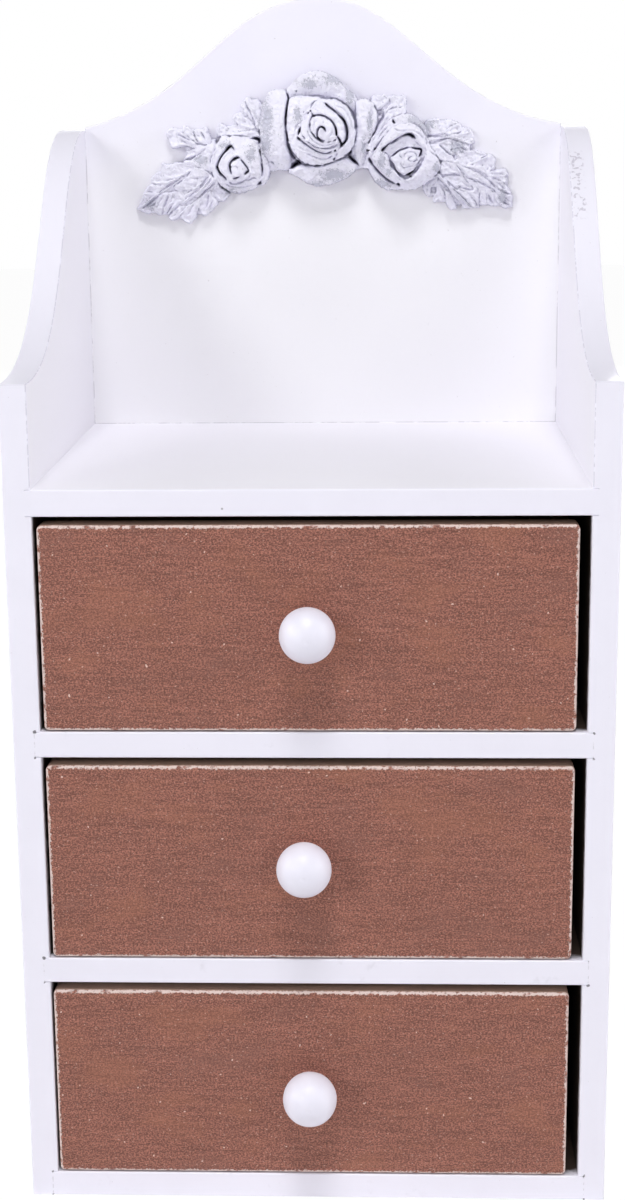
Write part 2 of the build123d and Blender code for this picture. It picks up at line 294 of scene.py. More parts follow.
lamp("left_key", (-1.60, -2.00, 1.05), 0.70, 16.8)
lamp("left_wall", (-1.50, -0.30, 0.70), 0.80, 8.2)
lamp("right_key", (1.60, -2.00, 1.05), 0.95, 8.6)
lamp("right_wall", (1.50, -0.30, 0.70), 0.80, 9.2)
lamp("top_lamp", (0.0, -0.98, 2.25), 0.60, 26.0)
lamp("back_lamp", (0.0, 2.00, 0.45), 0.70, 19.0)
print("lamps", len(bpy.data.lights))

# %% [markdown]
# ## White board
# All carcass boards are fibreboard under a thin, slightly lavender white paint. It is painted whiter
# inside the niche and whitest on the panel, as painted light against the shade of the sides, and a
# little greyer on the curved edges of the sides, as painted shade. The paint is smooth to the eye,
# with a faint orange-peel skin. Inside the drawer bays the board was left bare, and only a little
# spray reached in over the front edges; the bare board there is painted far darker than bare board,
# as painted shade deep in the bays. One material does all of it: it knows where it is on the object,
# so that a board turns from paint to bare board inside a bay, with no seam to unwrap.

# %% White board material
white = colour(238, 236, 248)
# Painted light: the niche is painted whiter than the boards outside, and the panel whiter still
niche_painted_light = colour(241, 239, 246)
panel_painted_light = colour(247, 246, 250)
# Painted shade: the curved edges of the sides are painted greyer than the boards
curve_painted_shade = colour(231, 229, 241)
# Painted shade: the bare board in the bays is far darker than bare board, for the shade deep inside
bare_board_painted_shade = colour(54, 42, 35)
outer_face, back_plane = side_high.x, side_high.y
shoulder_top = 243.0  # the level shoulder of the sides, where their curved edge begins
# The painted light in the niche fades out between these heights
niche_full, niche_end = 285.0, 325.0  # the niche's whiter paint fades out between these heights
panel_line_start, panel_line_full = 213.0, 214.0  # the hairline beside the panel starts at the shelf
dot_x, dot_z = -24.3, 208.4  # one dark dot on the shelf's front edge
chips_left, chips_right, chips_back = 77.5, 82.2, 56.0  # chips on the right side's curved edge
chips_middle, chips_half = 292.5, 10.5  # their middle height, and how far they reach from it


def white_board():
    f = Finish("white_board", Specular_IOR_Level=0.35)
    mottle = f.noise(14.0, 3.0)
    skin = f.noise(0.9, 3.0, 0.6)
    lumps = f.noise(5.0, 2.0, shift=3.0)
    depth = f.y - front_plane
    from_wall = abs(f.x) - inner_face
    in_front = f.step(f.y, panel_face + 0.4, panel_face + 0.2)
    on_panel = f.step(f.y, panel_face - 0.3, panel_face - 0.1) * in_front

    # Paint: plain; whiter in the niche and on the panel, as painted light; greyer on the curved edges, as
    # painted shade
    paint = f.mix(mottle, tuple(c * 0.975 for c in white), tuple(min(1.0, c * 1.012) for c in white))
    # Painted light: whiter paint over the niche's walls, shelf and panel, fading out towards the crest
    niche = f.step(from_wall, 0.06, 0.02) * f.step(f.z, shelf_high.z - 0.1, shelf_high.z - 0.05)
    niche = niche * f.step(f.y, front_plane + 0.3, front_plane + 0.5) * in_front
    niche = niche * f.step(f.z, niche_end, niche_full)
    paint = f.mix(niche, paint, f.mix(on_panel, niche_painted_light, panel_painted_light))
    # Painted shade on the curved edges of the sides
    curve = f.step(from_wall, 0.1, 0.3) * f.step(f.z, shoulder_top - 0.5, shoulder_top - 0.2)
    curve = curve * f.step(abs(f.x), outer_face - 0.05, outer_face - 0.25)
    curve = curve * f.step(f.y, back_plane - 0.2, back_plane - 0.4)
    paint = f.mix(curve, paint, curve_painted_shade)

    # Bare board inside the bays, painted much darker than bare board as painted shade deep in the bays
    reach = f.noise(6.0, 3.0, 0.6, shift=7.0)
    inside_x = f.step(abs(f.x), inner_face + 0.5, inner_face + 0.3)
    inside_z = f.step(f.z, shelf_low.z + 0.4, shelf_low.z + 0.2) * f.step(f.z, 0.6, 0.9)
    bare = f.step(depth + reach * 6.0, 3.6, 8.0) * inside_x * in_front * inside_z
    fibre = f.noise(1.6, 5.0, 0.7, shift=11.0)
    board = f.mix(fibre, tuple(c * 0.7 for c in bare_board_painted_shade), tuple(c * 1.5 for c in bare_board_painted_shade))

    # Joints: a faint line where a board's end shows in the side's front edge, a dark dent at its ends,
    # and a hairline along the foot and the sides of the panel
    housed = mm("bottom_board")[1].x
    broken = f.noise(1.3, 2.0, shift=5.0)
    across = abs(abs(f.x) - housed)
    joint, dent = 0.0, 0.0
    for board_name in ("bottom_board", "lower_divider", "upper_divider"):
        low, high = mm(board_name)
        joint = joint + f.step(f.z, low.z - 0.1, low.z) * f.step(f.z, high.z + 0.1, high.z)
        for edge in (low.z, high.z):
            away = (across * across + (f.z - edge) * (f.z - edge)) ** 0.5
            dent = dent + f.step(away + (broken - 0.5) * 1.6, 0.5, 0.25)
    front_face = f.step(depth, 0.4, 0.2)
    joint = joint * f.step(across, 0.2, 0.05) * front_face * f.step(broken, 0.44, 0.6)
    dent = dent.lower(1.0)
    foot = f.step(abs(f.z - shelf_high.z), 0.3, 0.1) * on_panel
    corner = f.step(abs(from_wall), 0.3, 0.1) * on_panel * f.step(f.z, panel_line_start, panel_line_full)
    hairline = foot.higher(corner) * f.step(f.noise(5.0, 3.0, 0.6, shift=6.0), 0.44, 0.58)

    # Specks of dirt, the dot, the rubbed inner corner of the sides above the shelf, and the chips
    speck = f.step(f.noise(0.8, 2.0, 0.5, shift=17.0), 0.755, 0.79)
    dot = ((f.x - dot_x) * (f.x - dot_x) + (f.z - dot_z) * (f.z - dot_z)) ** 0.5
    dot = f.step(dot, 0.4, 0.2) * front_face
    rubbed = f.step(from_wall, 0.06, 0.1) * f.step(from_wall, 0.4, 0.2)
    rubbed = rubbed * f.step(f.z, shelf_high.z, shelf_high.z + 0.5) * f.step(broken, 0.38, 0.5)
    worn = f.step(f.x, chips_left, chips_left + 0.5) * f.step(f.x, chips_right, chips_right - 1.2)
    worn = worn * f.step(abs(f.z - chips_middle), chips_half, chips_half - 2.0)
    flake = abs(f.noise((2.6, 2.6, 3.4), 1.0, 0.5, shift=21.0) - 0.5)
    chips = worn * f.step(flake, 0.07, 0.04) * f.step(broken, 0.48, 0.56)
    chips = chips * f.step(f.y, chips_back, chips_back - 2.0)

    for share, mark in (
        (joint * 0.3, colour(150, 144, 152)), (dent * front_face * 0.75, colour(70, 62, 70)),
        (hairline * 0.4, colour(150, 144, 156)), (speck * 0.35, colour(165, 158, 160)),
        (dot * 0.6, colour(110, 104, 112)), (rubbed * 0.4, colour(160, 154, 170)),
        (chips * 0.7, colour(186, 180, 196)),
    ):
        paint = f.mix(share, paint, mark)
    relief = skin * 0.35 + lumps * 0.65 - joint * 1.2 - dent * 1.5 - chips * 1.5 + bare * fibre * 1.5
    return f.paint(f.mix(bare, paint, board), 0.42 + 0.12 * mottle + bare * 0.35, relief, 0.06)


def dress(node, material):
    """Give a CAD node one material in place of its plain one."""
    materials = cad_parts[node].data.materials
    materials.clear()
    materials.append(material)


white_material = white_board()
carcass_nodes = ("left_side", "right_side", "back_panel", *boards)
for name in carcass_nodes:
    dress(name, white_material)
print("white boards", len(carcass_nodes))

# %% [markdown]
# ## Brown drawer fronts
# The fronts are brown paint in a fine grain of darker and paler brown, with pale and dark specks.
# All edges were then rubbed with sandpaper, so a broken cream line runs round each front. The distance
# to the front's edges comes straight from the CAD box of that front, and noise breaks the line up.

# %% Brown front material
brown = colour(134, 88, 76)


def brown_front(place, seed):
    f = Finish(f"{place}_front_brown", Specular_IOR_Level=0.3)
    low, high = mm(f"{place}_drawer_front")
    depth = f.y - low.y

    # Fine grain, faint level streaks and larger patches
    grain = f.noise((0.55, 0.55, 0.42), 2.0, 0.7, shift=seed)
    streak = f.noise((9.0, 9.0, 0.8), 3.0, 0.6, shift=seed + 2)
    patch = f.noise((24.0, 24.0, 13.0), 3.0, 0.6, shift=seed + 4)
    tone = f.mix(f.step(grain + (streak - 0.5) * 0.24, 0.36, 0.72), tuple(c * 0.60 for c in brown),
                 tuple(c * 2.00 for c in brown))
    tone = f.mix(f.step(patch, 0.50, 0.68) * 0.35, tone, colour(158, 104, 82))
    tone = f.mix(f.step(patch, 0.46, 0.30) * 0.4, tone, colour(131, 90, 80))

    # Pale and dark specks
    pale = f.step(f.noise((0.9, 0.7, 0.62), 2.0, 0.5, shift=seed + 6), 0.62, 0.74)
    dark = f.step(f.noise((0.85, 0.7, 0.6), 2.0, 0.5, shift=seed + 8), 0.64, 0.74)
    dot = f.step(f.noise(1.0, 0.0, 0.5, shift=seed + 16), 0.87, 0.90)
    tone = f.mix(pale * 0.7, tone, colour(214, 174, 160))
    tone = f.mix(dark * 0.4, tone, colour(96, 60, 54))
    tone = f.mix(dot * 0.8, tone, colour(236, 208, 196))

    # Rubbed line near each edge
    edge = (f.x - low.x).lower(high.x - f.x).lower((f.z - low.z).lower(high.z - f.z))
    wander = f.noise(3.0, 3.0, 0.6, shift=seed + 10)
    bite = f.noise(0.8, 2.0, 0.6, shift=seed + 12)
    near = edge.higher(depth) + (wander - 0.5) * 1.6 + (bite - 0.5) * 1.8
    worn = f.step(near, 0.85, 0.55) * f.step(wander, 0.34, 0.46)
    tan = f.step(depth, 0.4, 1.0) * f.step(edge, 0.9, 0.4)
    tone = f.mix(tan * 0.75, tone, colour(188, 160, 142))
    tone = f.mix(worn * 0.85, tone, colour(228, 210, 204))

    # The back of the front, inside the drawer, is bare board
    bare = f.step(depth, 7.2, 7.9)
    fibre = f.noise(1.2, 4.0, 0.7, shift=seed + 14)
    board = f.mix(fibre, colour(150, 118, 88), colour(186, 152, 118))
    tone = f.mix(bare, tone, board)
    relief = grain + streak * 0.3 - worn * 0.5 + pale * 0.4 - dark * 0.4
    rough = 0.5 + 0.15 * streak + worn * 0.15
    return f.paint(tone, rough, relief, 0.07)


for index, place in enumerate(places):
    dress(f"{place}_drawer_front", brown_front(place, 20.0 * index))
print("brown fronts", len(places))

# %% [markdown]
# ## Raw drawer boxes and steel
# Nobody paints the inside of such a drawer. Its walls are bare fibreboard, a little furry, and its
# floor is a thinner sheet with a smooth brown face. The pins and screws are plain steel.


# %% Raw board and steel materials
def raw_board(name, dark, light, size):
    f = Finish(name, Specular_IOR_Level=0.2)
    fibre = f.noise(size, 6.0, 0.72)
    cloud = f.noise(22.0, 2.0, shift=4.0)
    tone = f.mix(fibre, dark, light)
    tone = f.mix(cloud * 0.35, tone, tuple(c * 0.8 for c in dark))
    return f.paint(tone, 0.75 + 0.15 * fibre, fibre, 0.08)


def steel():
    f = Finish("bright_steel", Metallic=1.0)
    brushed = f.noise(0.3, 3.0, 0.6)
    tone = f.mix(brushed, colour(150, 150, 148), colour(196, 196, 192))
    return f.paint(tone, 0.28 + 0.2 * brushed, brushed, 0.01)


wall_material = raw_board("wall_board", colour(158, 126, 94), colour(198, 166, 130), 1.1)
floor_material = raw_board("floor_board", colour(120, 88, 62), colour(152, 116, 84), (2.5, 0.8, 0.8))
steel_material = steel()
for place in places:
    for piece, material in (
        ("left_side", wall_material), ("right_side", wall_material), ("back", wall_material),
        ("floor", floor_material), ("brads", steel_material), ("knob_screw", steel_material),
    ):
        dress(f"{place}_drawer_{piece}", material)
dress("carcass_brads", steel_material)
print("raw and steel materials", [m.name for m in (wall_material, floor_material, steel_material)])

# %% [markdown]
# ## Turned knobs
# Each knob is a wooden ball turned on a lathe, with a short foot and a tiny mark on its nose where
# the lathe held it. A sphere would miss the foot and the flat nose, so one profile is drawn from the
# foot to the nose and spun round, as a lathe does.

# %% Knobs
knob_profile = (  # distance in front of the drawer, radius
    (0.0, 4.15), (0.35, 4.45), (0.9, 4.4), (1.5, 4.5), (2.2, 5.1), (3.3, 6.15), (4.8, 7.1),
    (6.5, 7.65), (8.2, 7.8), (9.9, 7.6), (11.6, 7.0), (13.2, 6.0), (14.5, 4.6), (15.35, 3.1),
    (15.78, 1.7), (15.9, 0.8), (15.87, 0.45), (15.86, 0.0),
)
profile_steps, turns = 60, 72


def smooth_run(stations, count):
    """A smooth curve through a few stations, as `count` even steps."""
    stations = np.asarray(stations, float)
    ends = np.vstack([2 * stations[0] - stations[1], stations, 2 * stations[-1] - stations[-2]])
    steps = np.linspace(0, len(stations) - 1, count)
    index = np.minimum(steps.astype(int), len(stations) - 2)
    part = (steps - index)[:, None]
    a, b, c, d = (ends[index + k] for k in range(4))
    return 0.5 * (2 * b + (c - a) * part + (2 * a - 5 * b + 4 * c - d) * part**2
                  + (3 * b - a - 3 * c + d) * part**3)


def piece_from_mesh(name, points, faces, material, body, node):
    """An object from points in millimetres, riding on a body in place of a CAD node."""
    mesh = bpy.data.meshes.new(name)
    mesh.from_pydata((np.asarray(points) / 1000).tolist(), [], faces)
    mesh.materials.append(material)
    mesh.polygons.foreach_set("use_smooth", [True] * len(mesh.polygons))
    piece = bpy.data.objects.new(name, mesh)
    bpy.context.scene.collection.objects.link(piece)
    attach(piece, body)
    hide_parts(node)
    return piece


def knob_paint():
    f = Finish("knob_paint", Specular_IOR_Level=0.5)
    cloud = f.noise(6.0, 2.0)
    skin = f.noise(0.7, 3.0, 0.6, shift=2.0)
    tone = f.mix(cloud, colour(228, 226, 240), colour(237, 235, 247))
    return f.paint(tone, 0.34 + 0.1 * cloud, skin * 0.5 + cloud, 0.05)


def turned_knob(place, material):
    low, high = mm(f"{place}_drawer_knob")
    middle = (low + high) / 2
    profile = smooth_run(knob_profile, profile_steps)
    angles = np.arange(turns) * 2 * np.pi / turns
    run, radius = profile[:, :1], np.maximum(profile[:, 1:], 0.0)
    x = middle.x + radius * np.cos(angles)
    z = middle.z + radius * np.sin(angles)
    y = np.broadcast_to(high.y - run, x.shape)
    points = np.stack([x, y, z], -1).reshape(-1, 3)
    faces = []
    for row in range(len(profile) - 1):
        for step in range(turns):
            a, b = row * turns + step, row * turns + (step + 1) % turns
            faces.append((a, b, b + turns, a + turns))
    faces.append(tuple(reversed(range(turns))))
    return piece_from_mesh(f"{place}_turned_knob", points, faces, material, f"{place}_drawer",
                           f"{place}_drawer_knob")


knob_material = knob_paint()
for place in places:
    turned_knob(place, knob_material)
print("knobs", len(places), "points each", profile_steps * turns)

# %% [markdown]
# ## The rose garland
# The real ornament is one cast relief of three roses and nine leaves. Nothing in it is undercut,
# because it had to leave its mould, so one height over the panel for each place describes all of it.
# That makes a fine grid of heights the natural clay. A petal or a leaf lobe is laid on as an outline
# with heights, a crevice is cut along a line, and a vein is raised along a line. Later pieces win only
# where they stand higher, just as petals overlap.

# %% A grid of heights
garland_z = 308.9  # the height of the garland's middle, the centre of its middle rose
spacing = 0.2  # mm between two heights of the grid
columns = np.arange(-62.4, 64.0, spacing)
rows = np.arange(-31.0, 21.2, spacing)
grid_x, grid_z = np.meshgrid(columns, rows)
relief = np.full(grid_x.shape, -0.6)
# Painted shade for the crevices, one value for each place of the grid
crevice_painted_shade = np.zeros(grid_x.shape)
edge_drop, edge_blend = 0.45, 0.14  # how deep a petal's edge rounds off, and how softly it ends
lip_height, fade_length = 0.13, 1.6  # the raised lips of a crevice, and how it fades out at its ends
print("grid", len(columns), "x", len(rows))


def closed_run(stations, each=6):
    """A smooth closed curve through an outline's points."""
    b = np.asarray(stations, float)
    a, c, d = np.roll(b, 1, 0), np.roll(b, -1, 0), np.roll(b, -2, 0)
    part = (np.arange(each) / each)[:, None, None]
    curve = 0.5 * (2 * b + (c - a) * part + (2 * a - 5 * b + 4 * c - d) * part**2
                   + (3 * b - a - 3 * c + d) * part**3)
    return curve.transpose(1, 0, 2).reshape(-1, b.shape[1])


def near(run, margin):
    """The part of the grid around a curve."""
    (left, low), (far, high) = run[:, :2].min(0) - margin, run[:, :2].max(0) + margin
    return (slice(*np.searchsorted(rows, [low, high])), slice(*np.searchsorted(columns, [left, far])))


def distance(start, end, x, z):
    """The distance of grid points from a chain of short lines, and the share of its length there."""
    step = end - start
    along = ((x[..., None] - start[:, 0]) * step[:, 0] + (z[..., None] - start[:, 1]) * step[:, 1])
    along = np.clip(along / np.maximum((step**2).sum(1), 1e-9), 0, 1)
    away = ((x[..., None] - start[:, 0] - along * step[:, 0]) ** 2
            + (z[..., None] - start[:, 1] - along * step[:, 1]) ** 2)
    best = away.argmin(-1)[..., None]
    share = (best + np.take_along_axis(along, best, -1)) / len(start)
    return np.sqrt(np.take_along_axis(away, best, -1)[..., 0]), share[..., 0]


def blur(field, size):
    """A soft copy of the grid, `size` mm wide."""
    reach = int(3 * size / spacing) + 1
    weights = np.exp(-0.5 * (np.arange(-reach, reach + 1) * spacing / size) ** 2)
    weights /= weights.sum()
    for _ in range(2):
        padded = np.pad(field, ((reach, reach), (0, 0)), mode="edge")
        field = sum(w * padded[k:k + field.shape[0]] for k, w in enumerate(weights)).T
    return field


clay_dice = np.random.default_rng(11)


def clay(size):
    """Seeded noise over the grid, with bumps of about one size, mostly from -2 to 2."""
    field = blur(clay_dice.normal(0, 1, relief.shape), size)
    return field / field.std()


ragged = 0.09 * clay(0.35) + 0.07 * clay(0.8)


def spread(field, reach, pick):
    """The highest or lowest value within `reach` steps of each place."""
    for axis in (0, 1):
        field = pick.reduce([np.roll(field, k, axis) for k in range(-reach, reach + 1)])
    return field


def lay(outline, bulge, rim=0.0, turn=0.5, soft=2.2):
    """Lay on a petal: an outline of (x, z, height), domed by `bulge` mm, with a raised `rim`."""
    start = closed_run(outline)
    end = np.roll(start, -1, 0)
    view = near(start, 0.3)
    x, z = grid_x[view], grid_z[view]
    inner, _ = distance(start[:, :2], end[:, :2], x, z)
    crosses = (start[:, 1] > z[..., None]) != (end[:, 1] > z[..., None])
    rise = np.where(np.abs(end[:, 1] - start[:, 1]) < 1e-9, 1e-9, end[:, 1] - start[:, 1])
    at = start[:, 0] + (z[..., None] - start[:, 1]) * (end[:, 0] - start[:, 0]) / rise
    inner = np.where((crosses & (x[..., None] < at)).sum(-1) % 2 == 1, inner, -inner) + ragged[view]
    pull = ((x[..., None] - start[:, 0]) ** 2 + (z[..., None] - start[:, 1]) ** 2 + 0.3) ** -1.5
    surface = (pull * start[:, 2]).sum(-1) / pull.sum(-1)
    depth = np.maximum(inner, 0)
    surface = surface + bulge * (1 - np.exp(-depth / soft)) + rim * np.exp(-(((depth - 0.5) / 0.4) ** 2))
    surface = surface - edge_drop * (1 - np.sqrt(1 - (1 - np.clip(depth / turn, 0, 1)) ** 2))
    part = relief[view]
    cover = np.clip((inner + edge_blend) / (2 * edge_blend), 0, 1)
    relief[view] = np.where(surface > part, part + cover * (surface - part), part)


def carve(line, depth, width, black=1.0):
    """Cut a crevice along a line, or raise a vein where the depth is negative, and paint shade into a deep
    crevice.
    """
    run = smooth_run(line, 8 * len(line))
    view = near(run, 5 * width)
    away, share = distance(run[:-1, :2], run[1:, :2], grid_x[view], grid_z[view])
    length = np.hypot(*np.diff(run[:, :2], axis=0).T).sum()
    fade = np.clip(np.minimum(share, 1 - share) * length / min(fade_length, 0.45 * length), 0, 1)
    fade = fade * fade * (3 - 2 * fade)
    shape = fade * np.exp(-((away / (width * (0.4 + 0.6 * fade))) ** 2))
    lips = fade * np.exp(-(((away - 2.3 * width) / width) ** 2))
    part = relief[view]
    cut = part - depth * shape + lip_height * np.sign(depth) * lips
    cut = np.maximum(cut, np.minimum(part, 1.0))
    relief[view] = np.where(part > 0, cut, part)
    # Painted shade: a dark band inside a deep crevice, scaled by `black`
    crevice_shade_band = black * min(1.0, max(0.0, depth - 0.8) / 2.6)
    crevice_shade_band = crevice_shade_band * fade * np.exp(-((away / (0.6 * width + 0.05)) ** 2))
    crevice_painted_shade[view] = np.maximum(crevice_painted_shade[view], crevice_shade_band)


# %% [markdown]
# ## From a point in the photograph to a place on the garland
# The outlines of the lobes and petals, and the lines between them, were chosen point by point, on
# seven enlarged parts of the photograph, and are kept here as they were read there. A photograph
# shows a direction and not a distance, but the camera is known, and so is the panel. So a ray goes
# from the camera through the point, and it ends where it meets a plane in front of the panel, at the
# height that the surface has there. Places are rounded to a tenth of a millimetre, which is finer
# than the photograph shows.

# %% Points read in the photograph
# Left edge, top edge and width of each enlarged part, in pixels of the whole photograph
zooms = {
    "left": (130, 118, 120),
    "right": (410, 108, 115),
    "top": (360, 85, 80),
    "upper left": (205, 85, 80),
    "middle rose": (225, 55, 160),
    "left rose": (125, 80, 150),
    "right rose": (350, 80, 170),
}
zoom_width = 1568  # pixels across each enlarged part
focal_pixels = focal_length / film_width * photo_height
eye = 1000 * np.array(camera_place)


def seen_at(zoom, x, y, height):
    """The place (x, z) of a point read in a zoom, in mm from the garland's middle."""
    left, top, width = zooms[zoom]
    across = left + x * width / zoom_width - photo_width / 2
    under = top + y * width / zoom_width - photo_height / 2
    ray = focal_pixels * ahead + across * turned_right + under * turned_down
    place = eye + ray * (panel_face - height - eye[1]) / ray[1]
    return round(place[0], 1), round(place[2] - garland_z, 1)


print("one photograph pixel on the panel", round(abs(panel_face - eye[1]) / focal_pixels, 2), "mm")

# %% [markdown]
# ## Leaves
# A leaf of this casting is a fan of lobes with round, notched ends. Its heights are simple: high at
# the stalk and low at the tip. So a lobe gives its zoom, its bulge, its rim, both heights, the place
# of its stalk, how far the tip is from it, and its outline. The letters are the nine leaves: on the
# left A above, B the long one and C below, then D pointing up with E beside it, F at the top, and on
# the right G above, H the long one and I below.

